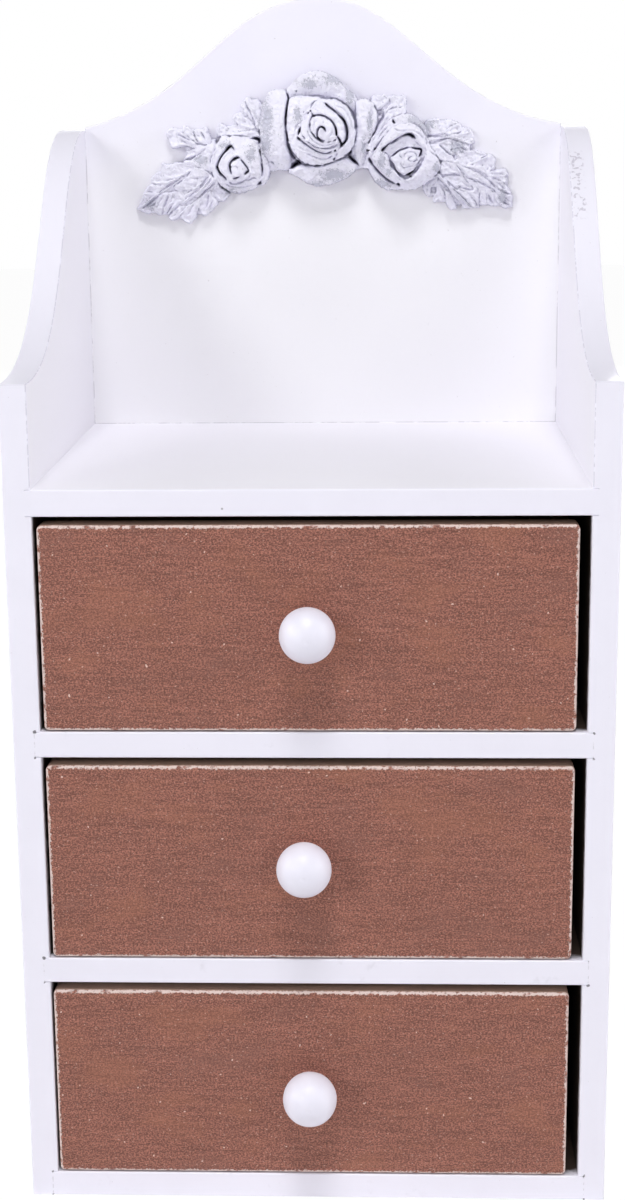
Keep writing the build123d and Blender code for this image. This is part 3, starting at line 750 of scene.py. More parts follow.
# %% Lobes of the leaves
leaf_lobes = {
    "left base": ("left", 0.4, 0.0, 3.6, 1.7, (1100, 620), 1000, [(700, 600), (560, 700), (400, 790),
     (300, 870), (220, 970), (150, 1110), (250, 1165), (400, 1180), (500, 1210), (640, 1240), (760, 1260),
     (880, 1170), (1000, 1180), (1120, 1080), (1200, 1020), (1200, 880), (1150, 700), (1080, 500),
     (950, 480), (820, 560)]),
    "right base": ("right", 0.4, 0.0, 3.8, 1.8, (240, 620), 1100, [(200, 300), (400, 380), (520, 430),
     (620, 600), (760, 780), (900, 840), (1060, 940), (1200, 1050), (1320, 1230), (1250, 1300),
     (1120, 1300), (1000, 1290), (900, 1260), (780, 1240), (640, 1210), (500, 1090), (400, 1000),
     (330, 980), (240, 960), (180, 700)]),
    "top base": ("top", 0.3, 0.0, 3.4, 2.8, (420, 800), 700, [(260, 420), (420, 440), (600, 440),
     (760, 450), (820, 560), (760, 700), (600, 900), (400, 1100), (200, 1240), (100, 1100), (160, 800),
     (220, 600)]),
    "upper left base": ("upper left", 0.3, 0.0, 3.8, 2.6, (1050, 1000), 900, [(760, 620), (900, 620),
     (1060, 560), (1180, 560), (1180, 900), (1160, 1150), (1000, 1120), (700, 1040), (450, 1010),
     (400, 900), (560, 800), (700, 760)]),
    "A4": ("left", 0.3, 0.3, 4.6, 3.0, (1010, 420), 300, [(925, 170), (960, 122), (1008, 130), (1032, 200),
     (1052, 300), (1058, 350), (1000, 350), (960, 250)]),
    "A3": ("left", 0.3, 0.3, 4.3, 2.8, (1010, 420), 300, [(838, 190), (848, 148), (900, 152), (928, 175),
     (965, 240), (1012, 310), (985, 360), (920, 335), (870, 290), (842, 240)]),
    "A2": ("left", 0.4, 0.3, 4.6, 3.0, (930, 420), 380, [(688, 182), (695, 112), (745, 112), (795, 150),
     (835, 230), (875, 310), (890, 345), (800, 280), (740, 225)]),
    "A1": ("left", 0.5, 0.4, 4.6, 2.4, (930, 420), 480, [(465, 215), (480, 168), (540, 135), (620, 140),
     (690, 185), (770, 245), (860, 322), (905, 395), (860, 405), (800, 382), (720, 366), (640, 376),
     (555, 408), (528, 370), (515, 320), (488, 270)]),
    "A5": ("left", 0.2, 0.3, 4.0, 2.6, (930, 440), 260, [(718, 432), (770, 415), (850, 398), (905, 440),
     (885, 492), (800, 526), (700, 560), (680, 570), (735, 475)]),
    "A stem": ("left", 0.6, 0.0, 5.4, 4.4, (1100, 400), 300, [(850, 335), (960, 352), (1050, 335),
     (1100, 280), (1120, 420), (1080, 560), (1040, 600), (960, 540), (880, 490), (845, 425)]),
    "B stem": ("left", 0.7, 0.0, 5.4, 4.4, (1100, 600), 420, [(1000, 400), (1060, 480), (1070, 640),
     (1060, 720), (1000, 690), (900, 660), (830, 645), (700, 590), (690, 565), (790, 530), (880, 495)]),
    "B1": ("left", 0.2, 0.35, 4.8, 2.6, (880, 640), 520, [(640, 590), (700, 572), (770, 600), (840, 640),
     (800, 700), (700, 765), (560, 812), (450, 822), (385, 800), (400, 745), (388, 700), (418, 640),
     (408, 592), (450, 600), (480, 640), (560, 600)]),
    "B2": ("left", 0.3, 0.3, 4.2, 2.4, (750, 760), 520, [(300, 742), (335, 715), (400, 702), (420, 785),
     (560, 805), (640, 800), (500, 880), (400, 915), (330, 868), (285, 862), (272, 800)]),
    "B3": ("left", 0.3, 0.3, 4.0, 2.2, (640, 830), 500, [(285, 862), (232, 880), (200, 930), (188, 972),
     (240, 1005), (330, 1000), (400, 955), (460, 905), (400, 885), (330, 866)]),
    "B4": ("left", 0.3, 0.3, 3.6, 1.9, (460, 960), 440, [(190, 970), (165, 1025), (135, 1092), (108, 1152),
     (92, 1188), (160, 1180), (230, 1120), (310, 1050), (380, 985), (300, 985)]),
    "B5": ("left", 0.5, 0.2, 5.4, 3.8, (1040, 700), 480, [(830, 640), (900, 652), (1000, 692), (1045, 742),
     (1000, 792), (945, 855), (880, 925), (760, 945), (640, 962), (575, 905), (640, 850), (720, 785),
     (780, 715)]),
    "B6": ("left", 0.3, 0.3, 4.2, 2.8, (860, 880), 420, [(500, 990), (640, 948), (760, 940), (880, 918),
     (840, 985), (740, 1065), (640, 1125), (560, 1160), (520, 1130), (530, 1050)]),
    "B7": ("left", 0.4, 0.3, 3.6, 2.2, (560, 960), 320, [(500, 985), (540, 990), (550, 1080), (525, 1180),
     (460, 1255), (420, 1262), (440, 1150), (470, 1060)]),
    "B8": ("left", 0.3, 0.3, 3.3, 2.0, (520, 960), 420, [(370, 1000), (500, 975), (480, 1060), (442, 1160),
     (405, 1265), (330, 1240), (280, 1195), (200, 1190), (160, 1202), (200, 1150), (300, 1075)]),
    "B tip": ("left", 0.2, 0.2, 2.6, 1.8, (300, 1120), 230, [(92, 1188), (150, 1165), (220, 1180),
     (290, 1180), (335, 1205), (300, 1242), (240, 1252), (170, 1235), (125, 1210)]),
    "C up": ("left", 0.3, 0.1, 5.0, 2.4, (1080, 780), 760, [(1035, 745), (985, 830), (930, 900),
     (860, 1000), (740, 1085), (640, 1145), (540, 1225), (500, 1275), (490, 1240), (560, 1150), (640, 1085),
     (720, 1025), (820, 955), (900, 880), (980, 770)]),
    "C1": ("left", 0.4, 0.3, 3.8, 2.0, (860, 1060), 440, [(650, 1150), (560, 1222), (508, 1292),
     (540, 1335), (600, 1325), (665, 1272), (730, 1205), (810, 1110), (730, 1140)]),
    "C2": ("left", 0.4, 0.3, 4.0, 2.1, (940, 1000), 460, [(805, 1105), (722, 1200), (650, 1290),
     (688, 1335), (742, 1375), (800, 1375), (850, 1312), (882, 1232), (895, 1180), (915, 1120),
     (900, 1040)]),
    "C3": ("left", 0.4, 0.3, 4.4, 2.3, (1040, 900), 420, [(905, 1045), (880, 1120), (898, 1180),
     (935, 1262), (962, 1285), (1022, 1252), (1082, 1192), (1132, 1142), (1155, 1085), (1105, 1040),
     (1080, 960), (1000, 960)]),
    "C4": ("left", 0.0, 0.4, 4.8, 2.6, (1130, 840), 300, [(1000, 955), (1130, 830), (1185, 900),
     (1235, 930), (1295, 990), (1262, 1052), (1212, 1092), (1160, 1072), (1140, 1045), (1080, 1010)]),
    "C stem": ("left", 0.4, 0.0, 5.8, 4.2, (1120, 740), 330, [(1040, 738), (1075, 752), (1140, 830),
     (1060, 890), (960, 975), (880, 1040), (860, 1000), (930, 905), (990, 825)]),
    "D1": ("upper left", 0.4, 0.3, 5.6, 3.4, (1040, 880), 660, [(788, 255), (850, 232), (930, 288),
     (1012, 268), (1065, 300), (1120, 400), (1190, 480), (1200, 620), (1160, 760), (1110, 880), (1010, 860),
     (985, 795), (950, 655), (900, 560), (850, 470), (808, 380), (778, 300)]),
    "D2": ("upper left", 0.3, 0.3, 4.8, 3.0, (980, 820), 560, [(780, 300), (705, 335), (690, 420),
     (750, 490), (800, 560), (862, 622), (925, 690), (970, 770), (945, 700), (905, 580), (850, 480),
     (808, 380)]),
    "D3": ("upper left", 0.4, 0.4, 4.9, 3.0, (1000, 860), 480, [(640, 535), (700, 560), (790, 615),
     (860, 680), (930, 755), (1000, 850), (920, 870), (800, 860), (690, 800), (600, 742), (548, 685),
     (560, 590)]),
    "DE": ("upper left", 0.2, 0.1, 4.6, 3.0, (1000, 900), 520, [(440, 830), (560, 790), (680, 780),
     (860, 800), (1000, 850), (1020, 940), (820, 930), (640, 930), (500, 900)]),
    "E": ("upper left", 0.5, 0.3, 4.8, 3.0, (1020, 980), 800, [(288, 755), (380, 778), (440, 845),
     (530, 905), (660, 915), (820, 895), (950, 900), (1040, 900), (1060, 980), (1040, 1040), (860, 1040),
     (700, 1020), (560, 1010), (420, 1020), (300, 1010), (225, 965), (225, 870)]),
    "F left": ("top", 0.1, 0.4, 4.8, 3.6, (420, 560), 380, [(240, 215), (310, 188), (362, 240), (400, 208),
     (460, 178), (522, 200), (562, 260), (562, 330), (482, 412), (430, 452), (350, 482), (300, 432),
     (240, 352), (208, 310)]),
    "F right": ("top", 0.3, 0.4, 5.2, 3.8, (480, 560), 480, [(560, 238), (620, 228), (680, 208),
     (760, 230), (832, 213), (882, 248), (905, 330), (892, 400), (852, 432), (780, 442), (700, 442),
     (620, 452), (545, 500), (480, 562), (490, 480), (580, 382), (605, 300)]),
    "F stem": ("top", 0.0, 0.1, 3.4, 3.4, (420, 560), 400, [(290, 440), (430, 450), (482, 415), (565, 375),
     (500, 470), (462, 560), (452, 640), (372, 722), (338, 692), (288, 590), (195, 500), (175, 455),
     (235, 440)]),
    "F low": ("top", 0.4, 0.3, 5.0, 4.4, (560, 620), 400, [(540, 505), (640, 455), (780, 440), (860, 440),
     (905, 480), (900, 560), (840, 600), (760, 620), (720, 660), (690, 730), (640, 700), (560, 640),
     (500, 600)]),
    "F strip": ("top", 0.5, 0.2, 5.6, 5.0, (300, 1150), 700, [(480, 600), (560, 560), (640, 640),
     (670, 760), (540, 885), (420, 1030), (310, 1200), (265, 1290), (130, 1250), (190, 1120), (255, 1000),
     (330, 880), (365, 790), (450, 680)]),
    "G1a": ("right", 0.2, 0.2, 4.6, 3.0, (320, 420), 300, [(180, 250), (230, 175), (300, 150), (400, 148),
     (432, 200), (500, 178), (545, 230), (480, 295), (430, 352), (380, 375), (300, 372), (200, 350)]),
    "G1b": ("right", 0.3, 0.3, 4.7, 3.1, (360, 410), 380, [(430, 200), (500, 170), (560, 158), (605, 180),
     (655, 200), (560, 262), (482, 322), (450, 355), (420, 300)]),
    "G1c": ("right", 0.4, 0.3, 4.7, 3.3, (360, 420), 420, [(480, 335), (540, 262), (620, 210), (682, 208),
     (702, 258), (760, 280), (700, 322), (600, 352), (520, 372)]),
    "G tip": ("right", 0.4, 0.4, 4.8, 3.0, (400, 430), 480, [(560, 365), (640, 350), (700, 322),
     (760, 278), (800, 272), (842, 308), (862, 360), (850, 420), (885, 450), (842, 492), (790, 492),
     (700, 462), (600, 432), (540, 412)]),
    "G low": ("right", 0.3, 0.2, 4.8, 2.9, (300, 460), 560, [(300, 472), (420, 440), (560, 415),
     (640, 450), (720, 480), (805, 520), (825, 582), (780, 585), (700, 545), (622, 562), (620, 625),
     (580, 642), (500, 602), (430, 545), (360, 505)]),
    "G rib": ("right", 0.5, 0.0, 5.4, 4.2, (240, 430), 560, [(230, 405), (300, 400), (400, 395),
     (520, 372), (640, 352), (740, 335), (800, 325), (800, 345), (740, 362), (640, 385), (520, 410),
     (400, 435), (300, 468), (230, 470)]),
    "H stem": ("right", 0.6, 0.1, 5.2, 4.6, (240, 520), 400, [(225, 500), (320, 478), (380, 500),
     (480, 590), (560, 650), (605, 690), (620, 760), (560, 745), (500, 722), (440, 722), (395, 702),
     (330, 645), (235, 600)]),
    "H1": ("right", -0.5, 0.3, 4.4, 2.8, (620, 700), 420, [(622, 560), (700, 545), (800, 590), (880, 565),
     (960, 602), (1045, 640), (940, 705), (850, 775), (740, 808), (660, 765), (602, 700), (622, 640)]),
    "H2": ("right", 0.2, 0.3, 4.6, 2.6, (720, 800), 440, [(740, 800), (850, 768), (940, 700), (1040, 652),
     (1100, 640), (1162, 700), (1165, 780), (1150, 835), (1100, 835), (1080, 880), (1060, 930), (980, 885),
     (880, 842)]),
    "H3": ("right", 0.2, 0.3, 3.9, 2.4, (980, 920), 360, [(1055, 925), (1100, 862), (1200, 842),
     (1290, 830), (1342, 900), (1312, 935), (1342, 1000), (1300, 1042), (1240, 1002), (1150, 955)]),
    "H4": ("right", 0.2, 0.3, 3.7, 2.2, (1060, 980), 360, [(1160, 952), (1250, 1000), (1322, 1060),
     (1372, 1130), (1395, 1175), (1300, 1155), (1240, 1125), (1130, 1025), (1050, 945)]),
    "H5": ("right", 0.3, 0.3, 3.3, 1.9, (1140, 1080), 340, [(1150, 1095), (1240, 1132), (1320, 1172),
     (1395, 1182), (1402, 1290), (1392, 1345), (1340, 1325), (1280, 1285), (1200, 1200)]),
    "H rib": ("right", 0.4, 0.0, 5.0, 2.5, (600, 740), 960, [(600, 725), (700, 790), (800, 820),
     (900, 870), (1000, 930), (1080, 1000), (1160, 1080), (1260, 1180), (1380, 1320), (1290, 1262),
     (1180, 1150), (1060, 1060), (960, 1010), (860, 975), (780, 945), (700, 860), (640, 785)]),
    "H6": ("right", 0.4, 0.2, 4.9, 3.9, (600, 740), 300, [(620, 758), (642, 792), (702, 880), (722, 945),
     (620, 905), (520, 912), (430, 902), (408, 800), (440, 722), (520, 722)]),
    "H7": ("right", 0.3, 0.3, 4.4, 3.0, (640, 840), 340, [(440, 932), (520, 918), (700, 930), (765, 990),
     (835, 1050), (865, 1105), (760, 1095), (680, 1065), (640, 1110), (540, 1045), (480, 985)]),
    "H8": ("right", 0.3, 0.3, 4.2, 2.3, (780, 960), 400, [(765, 965), (900, 1000), (962, 1100),
     (935, 1200), (952, 1300), (930, 1345), (880, 1252), (820, 1172), (740, 1142), (690, 1100),
     (860, 1115)]),
    "H9": ("right", 0.3, 0.3, 4.2, 2.3, (900, 1000), 340, [(900, 1000), (1000, 1050), (1042, 1120),
     (1042, 1220), (1062, 1312), (1000, 1325), (950, 1312), (962, 1200), (945, 1100)]),
    "H10": ("right", -0.4, 0.4, 3.8, 2.1, (1000, 1060), 320, [(1020, 1095), (1100, 1100), (1172, 1220),
     (1222, 1335), (1120, 1335), (1060, 1312), (1040, 1200)]),
    "H11": ("right", 0.2, 0.3, 3.4, 2.0, (1100, 1100), 340, [(1100, 1085), (1200, 1180), (1290, 1280),
     (1365, 1342), (1290, 1362), (1220, 1335), (1160, 1220)]),
    "I1": ("right", 0.3, 0.2, 5.0, 2.4, (400, 900), 660, [(400, 885), (480, 965), (560, 1035), (640, 1105),
     (720, 1128), (800, 1160), (872, 1240), (905, 1345), (840, 1345), (760, 1265), (660, 1175), (560, 1085),
     (460, 985)]),
    "I2a": ("right", -0.2, 0.3, 4.6, 3.0, (360, 940), 280, [(188, 1000), (240, 945), (330, 925),
     (385, 900), (360, 1000), (302, 1070), (290, 1160), (302, 1182), (260, 1205), (208, 1172),
     (183, 1080)]),
    "I2b": ("right", 0.3, 0.3, 4.6, 2.6, (380, 960), 340, [(345, 1000), (385, 1030), (440, 1100),
     (480, 1180), (462, 1242), (420, 1282), (405, 1252), (380, 1252), (338, 1284), (318, 1220), (350, 1140),
     (360, 1060)]),
    "I2c": ("right", 0.5, 0.3, 4.4, 2.2, (420, 1040), 380, [(400, 1055), (460, 1130), (482, 1200),
     (492, 1280), (540, 1372), (600, 1378), (640, 1362), (622, 1290), (582, 1220), (542, 1160),
     (480, 1095)]),
    "I2d": ("right", 0.4, 0.3, 4.2, 2.2, (520, 1080), 400, [(540, 1100), (580, 1180), (620, 1222),
     (680, 1292), (720, 1362), (780, 1372), (830, 1352), (760, 1280), (680, 1200), (600, 1120),
     (550, 1085)]),
    "I rib": ("right", 0.3, 0.0, 5.6, 3.2, (380, 900), 640, [(372, 885), (400, 895), (460, 965),
     (550, 1060), (640, 1150), (740, 1245), (830, 1345), (800, 1350), (720, 1262), (620, 1172), (520, 1090),
     (440, 1000), (385, 935)]),
}


def slope(away, reach, high, low):
    """The height of a leaf: `high` at its stalk, falling to `low` at a distance of `reach`."""
    return np.maximum(low, high - (high - low) * away / reach)


for zoom, bulge, rim, high, low, stalk, reach, outline in leaf_lobes.values():
    seen = [seen_at(zoom, x, y, slope(math.dist((x, y), stalk), reach, high, low)) for x, y in outline]
    root = seen_at(zoom, *stalk, high)
    length = round(math.dist(root, seen_at(zoom, stalk[0] + reach, stalk[1], high)), 1)
    away = np.hypot(*(np.asarray(seen) - root).T)
    lay(np.column_stack([seen, slope(away, length, high, low)]), bulge, rim, turn=0.35, soft=1.0)
print("lobes", len(leaf_lobes))

# %% Veins and folds of the leaves
# For each zoom: depth, half width, height of the surface, line. A depth below zero is a raised vein.
leaf_lines = {
    "left": (
        (1.0, 0.26, 3.5, [(590, 203), (700, 250), (820, 312)]),
        (-0.35, 0.28, 3.5, [(620, 245), (760, 305), (890, 360)]),
        (1.0, 0.26, 3.5, [(670, 290), (760, 340), (855, 388)]),
        (0.5, 0.3, 3.2, [(480, 215), (520, 262), (560, 330)]),
        (0.7, 0.26, 3.6, [(760, 150), (800, 220), (842, 290)]),
        (0.6, 0.26, 3.6, [(900, 318), (962, 350)]),
        (0.7, 0.28, 3.6, [(928, 182), (975, 258), (1012, 312)]),
        (0.9, 0.28, 3.6, [(1000, 150), (1018, 220), (1045, 320)]),
        (0.8, 0.3, 3.4, [(690, 572), (790, 527), (875, 490), (960, 430), (1010, 380)]),
        (0.5, 0.24, 3.0, [(540, 160), (620, 160), (680, 190)]),
        (0.6, 0.3, 5.0, [(900, 520), (940, 580), (960, 640)]),
        (0.5, 0.25, 5.0, [(700, 620), (780, 600), (850, 620)]),
        (1.6, 0.32, 4.0, [(690, 765), (600, 820), (500, 885), (385, 962)]),
        (-0.7, 0.26, 4.2, [(720, 770), (600, 850), (480, 925), (370, 990), (260, 1075), (170, 1160)]),
        (0.9, 0.26, 3.2, [(385, 1010), (300, 1085), (180, 1172)]),
        (1.0, 0.3, 3.8, [(590, 898), (630, 870), (672, 848)]),
        (0.8, 0.28, 3.2, [(395, 805), (470, 815), (560, 800), (620, 780)]),
        (-0.4, 0.3, 3.2, [(300, 845), (400, 850), (520, 845)]),
        (0.6, 0.24, 3.0, [(330, 790), (370, 800)]),
        (0.7, 0.28, 3.0, [(280, 885), (300, 885)]),
        (0.8, 0.26, 3.0, [(200, 965), (260, 960), (330, 985)]),
        (0.6, 0.24, 2.8, [(240, 900), (280, 930), (350, 950)]),
        (0.7, 0.24, 2.8, [(150, 1080), (190, 1060), (260, 1040)]),
        (0.6, 0.24, 2.6, [(140, 1130), (180, 1130)]),
        (0.8, 0.28, 4.4, [(735, 805), (850, 792), (970, 780)]),
        (-0.4, 0.3, 4.4, [(700, 840), (800, 850), (900, 830)]),
        (0.6, 0.28, 4.0, [(600, 960), (680, 930), (760, 900)]),
        (0.6, 0.26, 3.6, [(700, 1000), (780, 960), (860, 930)]),
        (1.5, 0.34, 3.0, [(510, 990), (482, 1080), (440, 1200)]),
        (-0.5, 0.26, 3.2, [(530, 1000), (505, 1090), (460, 1220)]),
        (0.7, 0.26, 2.8, [(440, 1010), (380, 1110), (350, 1180)]),
        (0.6, 0.26, 2.6, [(370, 1060), (300, 1130), (230, 1170)]),
        (0.6, 0.26, 2.4, [(260, 1190), (310, 1200), (340, 1240)]),
        (0.7, 0.3, 3.0, [(600, 1080), (560, 1140), (500, 1210)]),
        (1.6, 0.5, 4.6, [(1032, 742), (985, 820), (930, 895)]),
        (1.0, 0.3, 4.4, [(930, 895), (860, 960), (760, 1030), (690, 1080)]),
        (-0.7, 0.28, 4.6, [(1068, 765), (965, 900), (860, 1002), (745, 1082), (640, 1150)]),
        (1.2, 0.28, 4.6, [(1135, 828), (1080, 872), (1000, 935), (900, 1035), (800, 1112), (700, 1152)]),
        (-0.4, 0.26, 5.0, [(1110, 800), (1030, 880), (960, 950)]),
        (0.7, 0.3, 5.0, [(1060, 800), (1010, 860), (960, 920)]),
        (0.8, 0.26, 3.0, [(770, 1120), (700, 1190), (600, 1290)]),
        (0.6, 0.26, 2.8, [(640, 1200), (580, 1260)]),
        (0.7, 0.26, 3.0, [(850, 1090), (800, 1190), (740, 1300)]),
        (-0.4, 0.26, 3.0, [(880, 1110), (840, 1210), (780, 1330)]),
        (0.8, 0.26, 2.8, [(860, 1230), (830, 1310), (800, 1350)]),
        (1.6, 0.34, 3.2, [(905, 1175), (905, 1215), (900, 1245)]),
        (-0.5, 0.3, 3.6, [(1045, 970), (1050, 1080), (1000, 1240)]),
        (0.7, 0.26, 3.6, [(1020, 990), (1015, 1090), (975, 1200)]),
        (0.6, 0.26, 3.4, [(1085, 1060), (1060, 1150), (1030, 1220)]),
        (1.0, 0.6, 4.0, [(1160, 930), (1200, 970), (1230, 990)]),
        (0.7, 0.26, 3.4, [(1150, 1060), (1165, 1085), (1200, 1090)]),
        (0.6, 0.28, 3.8, [(1090, 960), (1110, 1010), (1150, 1040)]),
    ),
    "upper left": (
        (1.0, 0.26, 4.4, [(800, 330), (850, 480), (915, 600)]),
        (1.8, 0.34, 4.8, [(915, 600), (955, 700), (988, 800)]),
        (-0.6, 0.3, 4.8, [(900, 450), (960, 570), (1020, 700), (1055, 850)]),
        (0.9, 0.26, 4.8, [(980, 590), (1015, 650), (1052, 710)]),
        (0.6, 0.3, 4.4, [(990, 370), (1000, 500)]),
        (1.2, 0.22, 4.0, [(985, 275), (995, 278)]),
        (0.8, 0.26, 4.4, [(1080, 300), (1110, 370), (1150, 420)]),
        (0.8, 0.3, 4.0, [(680, 570), (780, 620), (850, 680), (930, 765)]),
        (0.7, 0.26, 4.4, [(890, 700), (920, 750)]),
        (0.6, 0.4, 3.8, [(680, 740), (780, 720), (850, 710)]),
        (0.5, 0.3, 3.4, [(590, 600), (620, 680), (680, 740)]),
        (1.0, 0.28, 3.8, [(370, 860), (450, 910), (550, 932), (700, 922), (820, 900)]),
        (0.6, 0.26, 3.2, [(290, 770), (360, 790), (450, 850)]),
        (1.2, 0.6, 4.4, [(1005, 860), (1030, 930)]),
        (0.9, 0.3, 4.0, [(380, 1018), (550, 1005), (700, 1005), (860, 1035)]),
        (3.4, 0.55, 5.0, [(880, 1045), (980, 1060), (1045, 1100)]),
        (3.0, 0.4, 5.0, [(1045, 1040), (1050, 1110), (1030, 1180)]),
        (0.5, 0.3, 3.4, [(250, 960), (330, 930), (420, 960)]),
    ),
    "top": (
        (1.6, 0.28, 4.0, [(235, 225), (212, 310)]),
        (0.9, 0.26, 4.0, [(212, 310), (260, 390), (330, 475)]),
        (0.9, 0.26, 4.0, [(360, 255), (385, 240), (425, 200)]),
        (0.7, 0.28, 4.2, [(440, 300), (450, 400)]),
        (0.8, 0.26, 4.2, [(550, 330), (500, 390), (420, 440)]),
        (0.6, 0.3, 4.2, [(510, 220), (530, 300)]),
        (1.4, 0.3, 4.4, [(600, 380), (500, 480), (462, 560), (448, 640), (375, 720), (350, 790)]),
        (-0.5, 0.26, 4.4, [(620, 320), (540, 420), (480, 480)]),
        (0.8, 0.3, 3.6, [(195, 490), (280, 570), (340, 670), (370, 700)]),
        (1.2, 0.3, 3.4, [(385, 560), (385, 600)]),
        (0.9, 0.26, 4.2, [(660, 230), (700, 250)]),
        (1.0, 0.3, 4.2, [(750, 380), (770, 420), (800, 440)]),
        (0.8, 0.28, 4.2, [(620, 445), (700, 435), (760, 400)]),
        (0.7, 0.3, 4.2, [(830, 230), (860, 260), (800, 370)]),
        (0.8, 0.26, 4.2, [(880, 360), (860, 410)]),
        (3.0, 0.3, 5.2, [(655, 690), (660, 740), (700, 760)]),
        (0.7, 0.26, 5.4, [(560, 610), (500, 710)]),
        (0.9, 0.28, 5.2, [(640, 770), (540, 880), (420, 1030), (310, 1200)]),
        (0.6, 0.26, 5.4, [(500, 745), (400, 880), (300, 1030), (200, 1160)]),
        (0.5, 0.26, 5.4, [(430, 780), (340, 900), (250, 1040)]),
        (-0.3, 0.28, 5.4, [(560, 760), (440, 920), (340, 1080)]),
    ),
    "right": (
        (0.9, 0.28, 4.4, [(300, 472), (400, 442), (460, 422), (560, 402)]),
        (0.8, 0.28, 4.4, [(300, 375), (380, 372), (460, 360), (520, 360)]),
        (1.0, 0.28, 4.0, [(605, 210), (520, 262), (455, 340)]),
        (0.5, 0.3, 3.6, [(300, 180), (260, 240)]),
        (0.6, 0.26, 3.6, [(400, 160), (440, 205), (520, 170)]),
        (0.7, 0.26, 3.8, [(640, 210), (690, 215), (690, 260)]),
        (0.6, 0.26, 3.8, [(760, 290), (800, 280), (840, 320)]),
        (0.9, 0.28, 3.6, [(860, 350), (850, 400), (800, 410)]),
        (0.9, 0.28, 3.6, [(880, 452), (820, 470), (760, 455)]),
        (0.6, 0.26, 4.0, [(560, 430), (660, 440), (740, 450)]),
        (-0.6, 0.28, 4.0, [(620, 470), (700, 505), (812, 580)]),
        (1.2, 0.32, 4.4, [(375, 490), (460, 560), (560, 645)]),
        (1.0, 0.3, 4.4, [(555, 560), (565, 575)]),
        (0.7, 0.28, 3.8, [(640, 500), (640, 560), (700, 545)]),
        (0.6, 0.26, 4.0, [(760, 590), (660, 620), (600, 680)]),
        (0.7, 0.3, 4.8, [(480, 640), (500, 670)]),
        (1.3, 0.3, 4.8, [(250, 592), (320, 640), (395, 705)]),
        (0.8, 0.28, 4.4, [(570, 730), (620, 700), (640, 640)]),
        (-0.6, 0.3, 3.8, [(850, 772), (940, 712), (1095, 660)]),
        (0.8, 0.28, 3.8, [(740, 800), (850, 778), (940, 722)]),
        (0.8, 0.26, 3.6, [(970, 760), (1010, 800)]),
        (1.2, 0.32, 3.4, [(1095, 760), (1130, 842), (1200, 852), (1290, 835)]),
        (-0.6, 0.3, 3.4, [(1062, 932), (1200, 922), (1312, 927)]),
        (0.8, 0.3, 3.2, [(1100, 950), (1200, 975), (1280, 1000)]),
        (1.5, 0.32, 4.6, [(640, 780), (720, 880), (785, 950), (830, 972)]),
        (-0.4, 0.3, 4.6, [(620, 780), (700, 880), (760, 950)]),
        (0.8, 0.26, 4.2, [(840, 820), (980, 892), (1080, 990), (1180, 1090), (1262, 1172)]),
        (0.6, 0.28, 4.2, [(820, 900), (940, 960), (1040, 1040)]),
        (0.7, 0.26, 3.4, [(1200, 1000), (1250, 1060), (1330, 1150)]),
        (0.8, 0.28, 3.0, [(1290, 1060), (1270, 1040)]),
        (0.7, 0.26, 3.0, [(1180, 1190), (1260, 1260), (1340, 1320)]),
        (0.7, 0.26, 2.8, [(1260, 1200), (1330, 1250), (1390, 1300)]),
        (-0.4, 0.26, 2.8, [(1210, 1210), (1290, 1290), (1350, 1335)]),
        (1.1, 0.3, 4.2, [(510, 915), (620, 908), (712, 942)]),
        (0.6, 0.28, 4.2, [(560, 780), (540, 860)]),
        (0.8, 0.3, 3.8, [(640, 1110), (560, 1040), (500, 990)]),
        (0.8, 0.28, 3.6, [(690, 990), (760, 1050), (850, 1090)]),
        (1.0, 0.4, 3.2, [(790, 1165), (850, 1230), (900, 1310)]),
        (0.7, 0.26, 3.4, [(880, 1060), (930, 1140), (900, 1240)]),
        (-0.6, 0.28, 3.4, [(1000, 1090), (1022, 1200), (1042, 1312)]),
        (0.8, 0.26, 3.2, [(965, 1110), (985, 1210), (975, 1310)]),
        (1.2, 0.4, 3.0, [(1055, 1150), (1085, 1220), (1130, 1310)]),
        (-0.7, 0.28, 3.2, [(1060, 1125), (1130, 1240), (1205, 1335)]),
        (0.8, 0.28, 2.8, [(1120, 1190), (1180, 1290), (1230, 1335)]),
        (-0.6, 0.26, 4.6, [(380, 900), (450, 982), (540, 1082), (640, 1172), (740, 1262), (820, 1342)]),
        (1.4, 0.5, 4.0, [(372, 1000), (440, 1080), (505, 1125)]),
        (1.0, 0.28, 3.6, [(640, 1140), (720, 1222), (785, 1292)]),
        (0.8, 0.28, 4.2, [(410, 915), (480, 985), (560, 1055), (620, 1100)]),
        (0.9, 0.3, 3.6, [(345, 1040), (362, 1090), (345, 1160)]),
        (1.0, 0.28, 3.2, [(455, 1140), (480, 1230), (510, 1320)]),
        (0.8, 0.28, 3.2, [(560, 1190), (620, 1280), (680, 1350)]),
        (0.7, 0.28, 3.4, [(230, 1000), (240, 1080), (260, 1150)]),
        (0.8, 0.3, 3.0, [(360, 1230), (410, 1240), (430, 1190)]),
        (0.7, 0.26, 2.8, [(700, 1260), (760, 1330)]),
        (0.6, 0.26, 3.2, [(600, 1140), (680, 1230), (760, 1310)]),
    ),
}


def read_lines(table):
    """The lines of a table as places on the garland: depth, half width, line."""
    return [(depth, width, [seen_at(zoom, x, y, height) for x, y in line])
            for zoom, rows in table.items() for depth, width, height, line in rows]


# The folds looked too deep as they were first drawn, so they are cut to a share of that
deep_fold = 2.5  # a fold from this depth on keeps the larger share
fold_share, deep_fold_share = 0.5, 0.8
leaf_folds = [row for row in read_lines(leaf_lines) if row[0] > 0]
leaf_veins = [row for row in read_lines(leaf_lines) if row[0] < 0]
for depth, width, line in leaf_folds:
    carve(line, depth * (fold_share if depth < deep_fold else deep_fold_share), width, black=0.5)
for depth, width, line in leaf_veins:
    carve(line, depth, width, black=0.0)

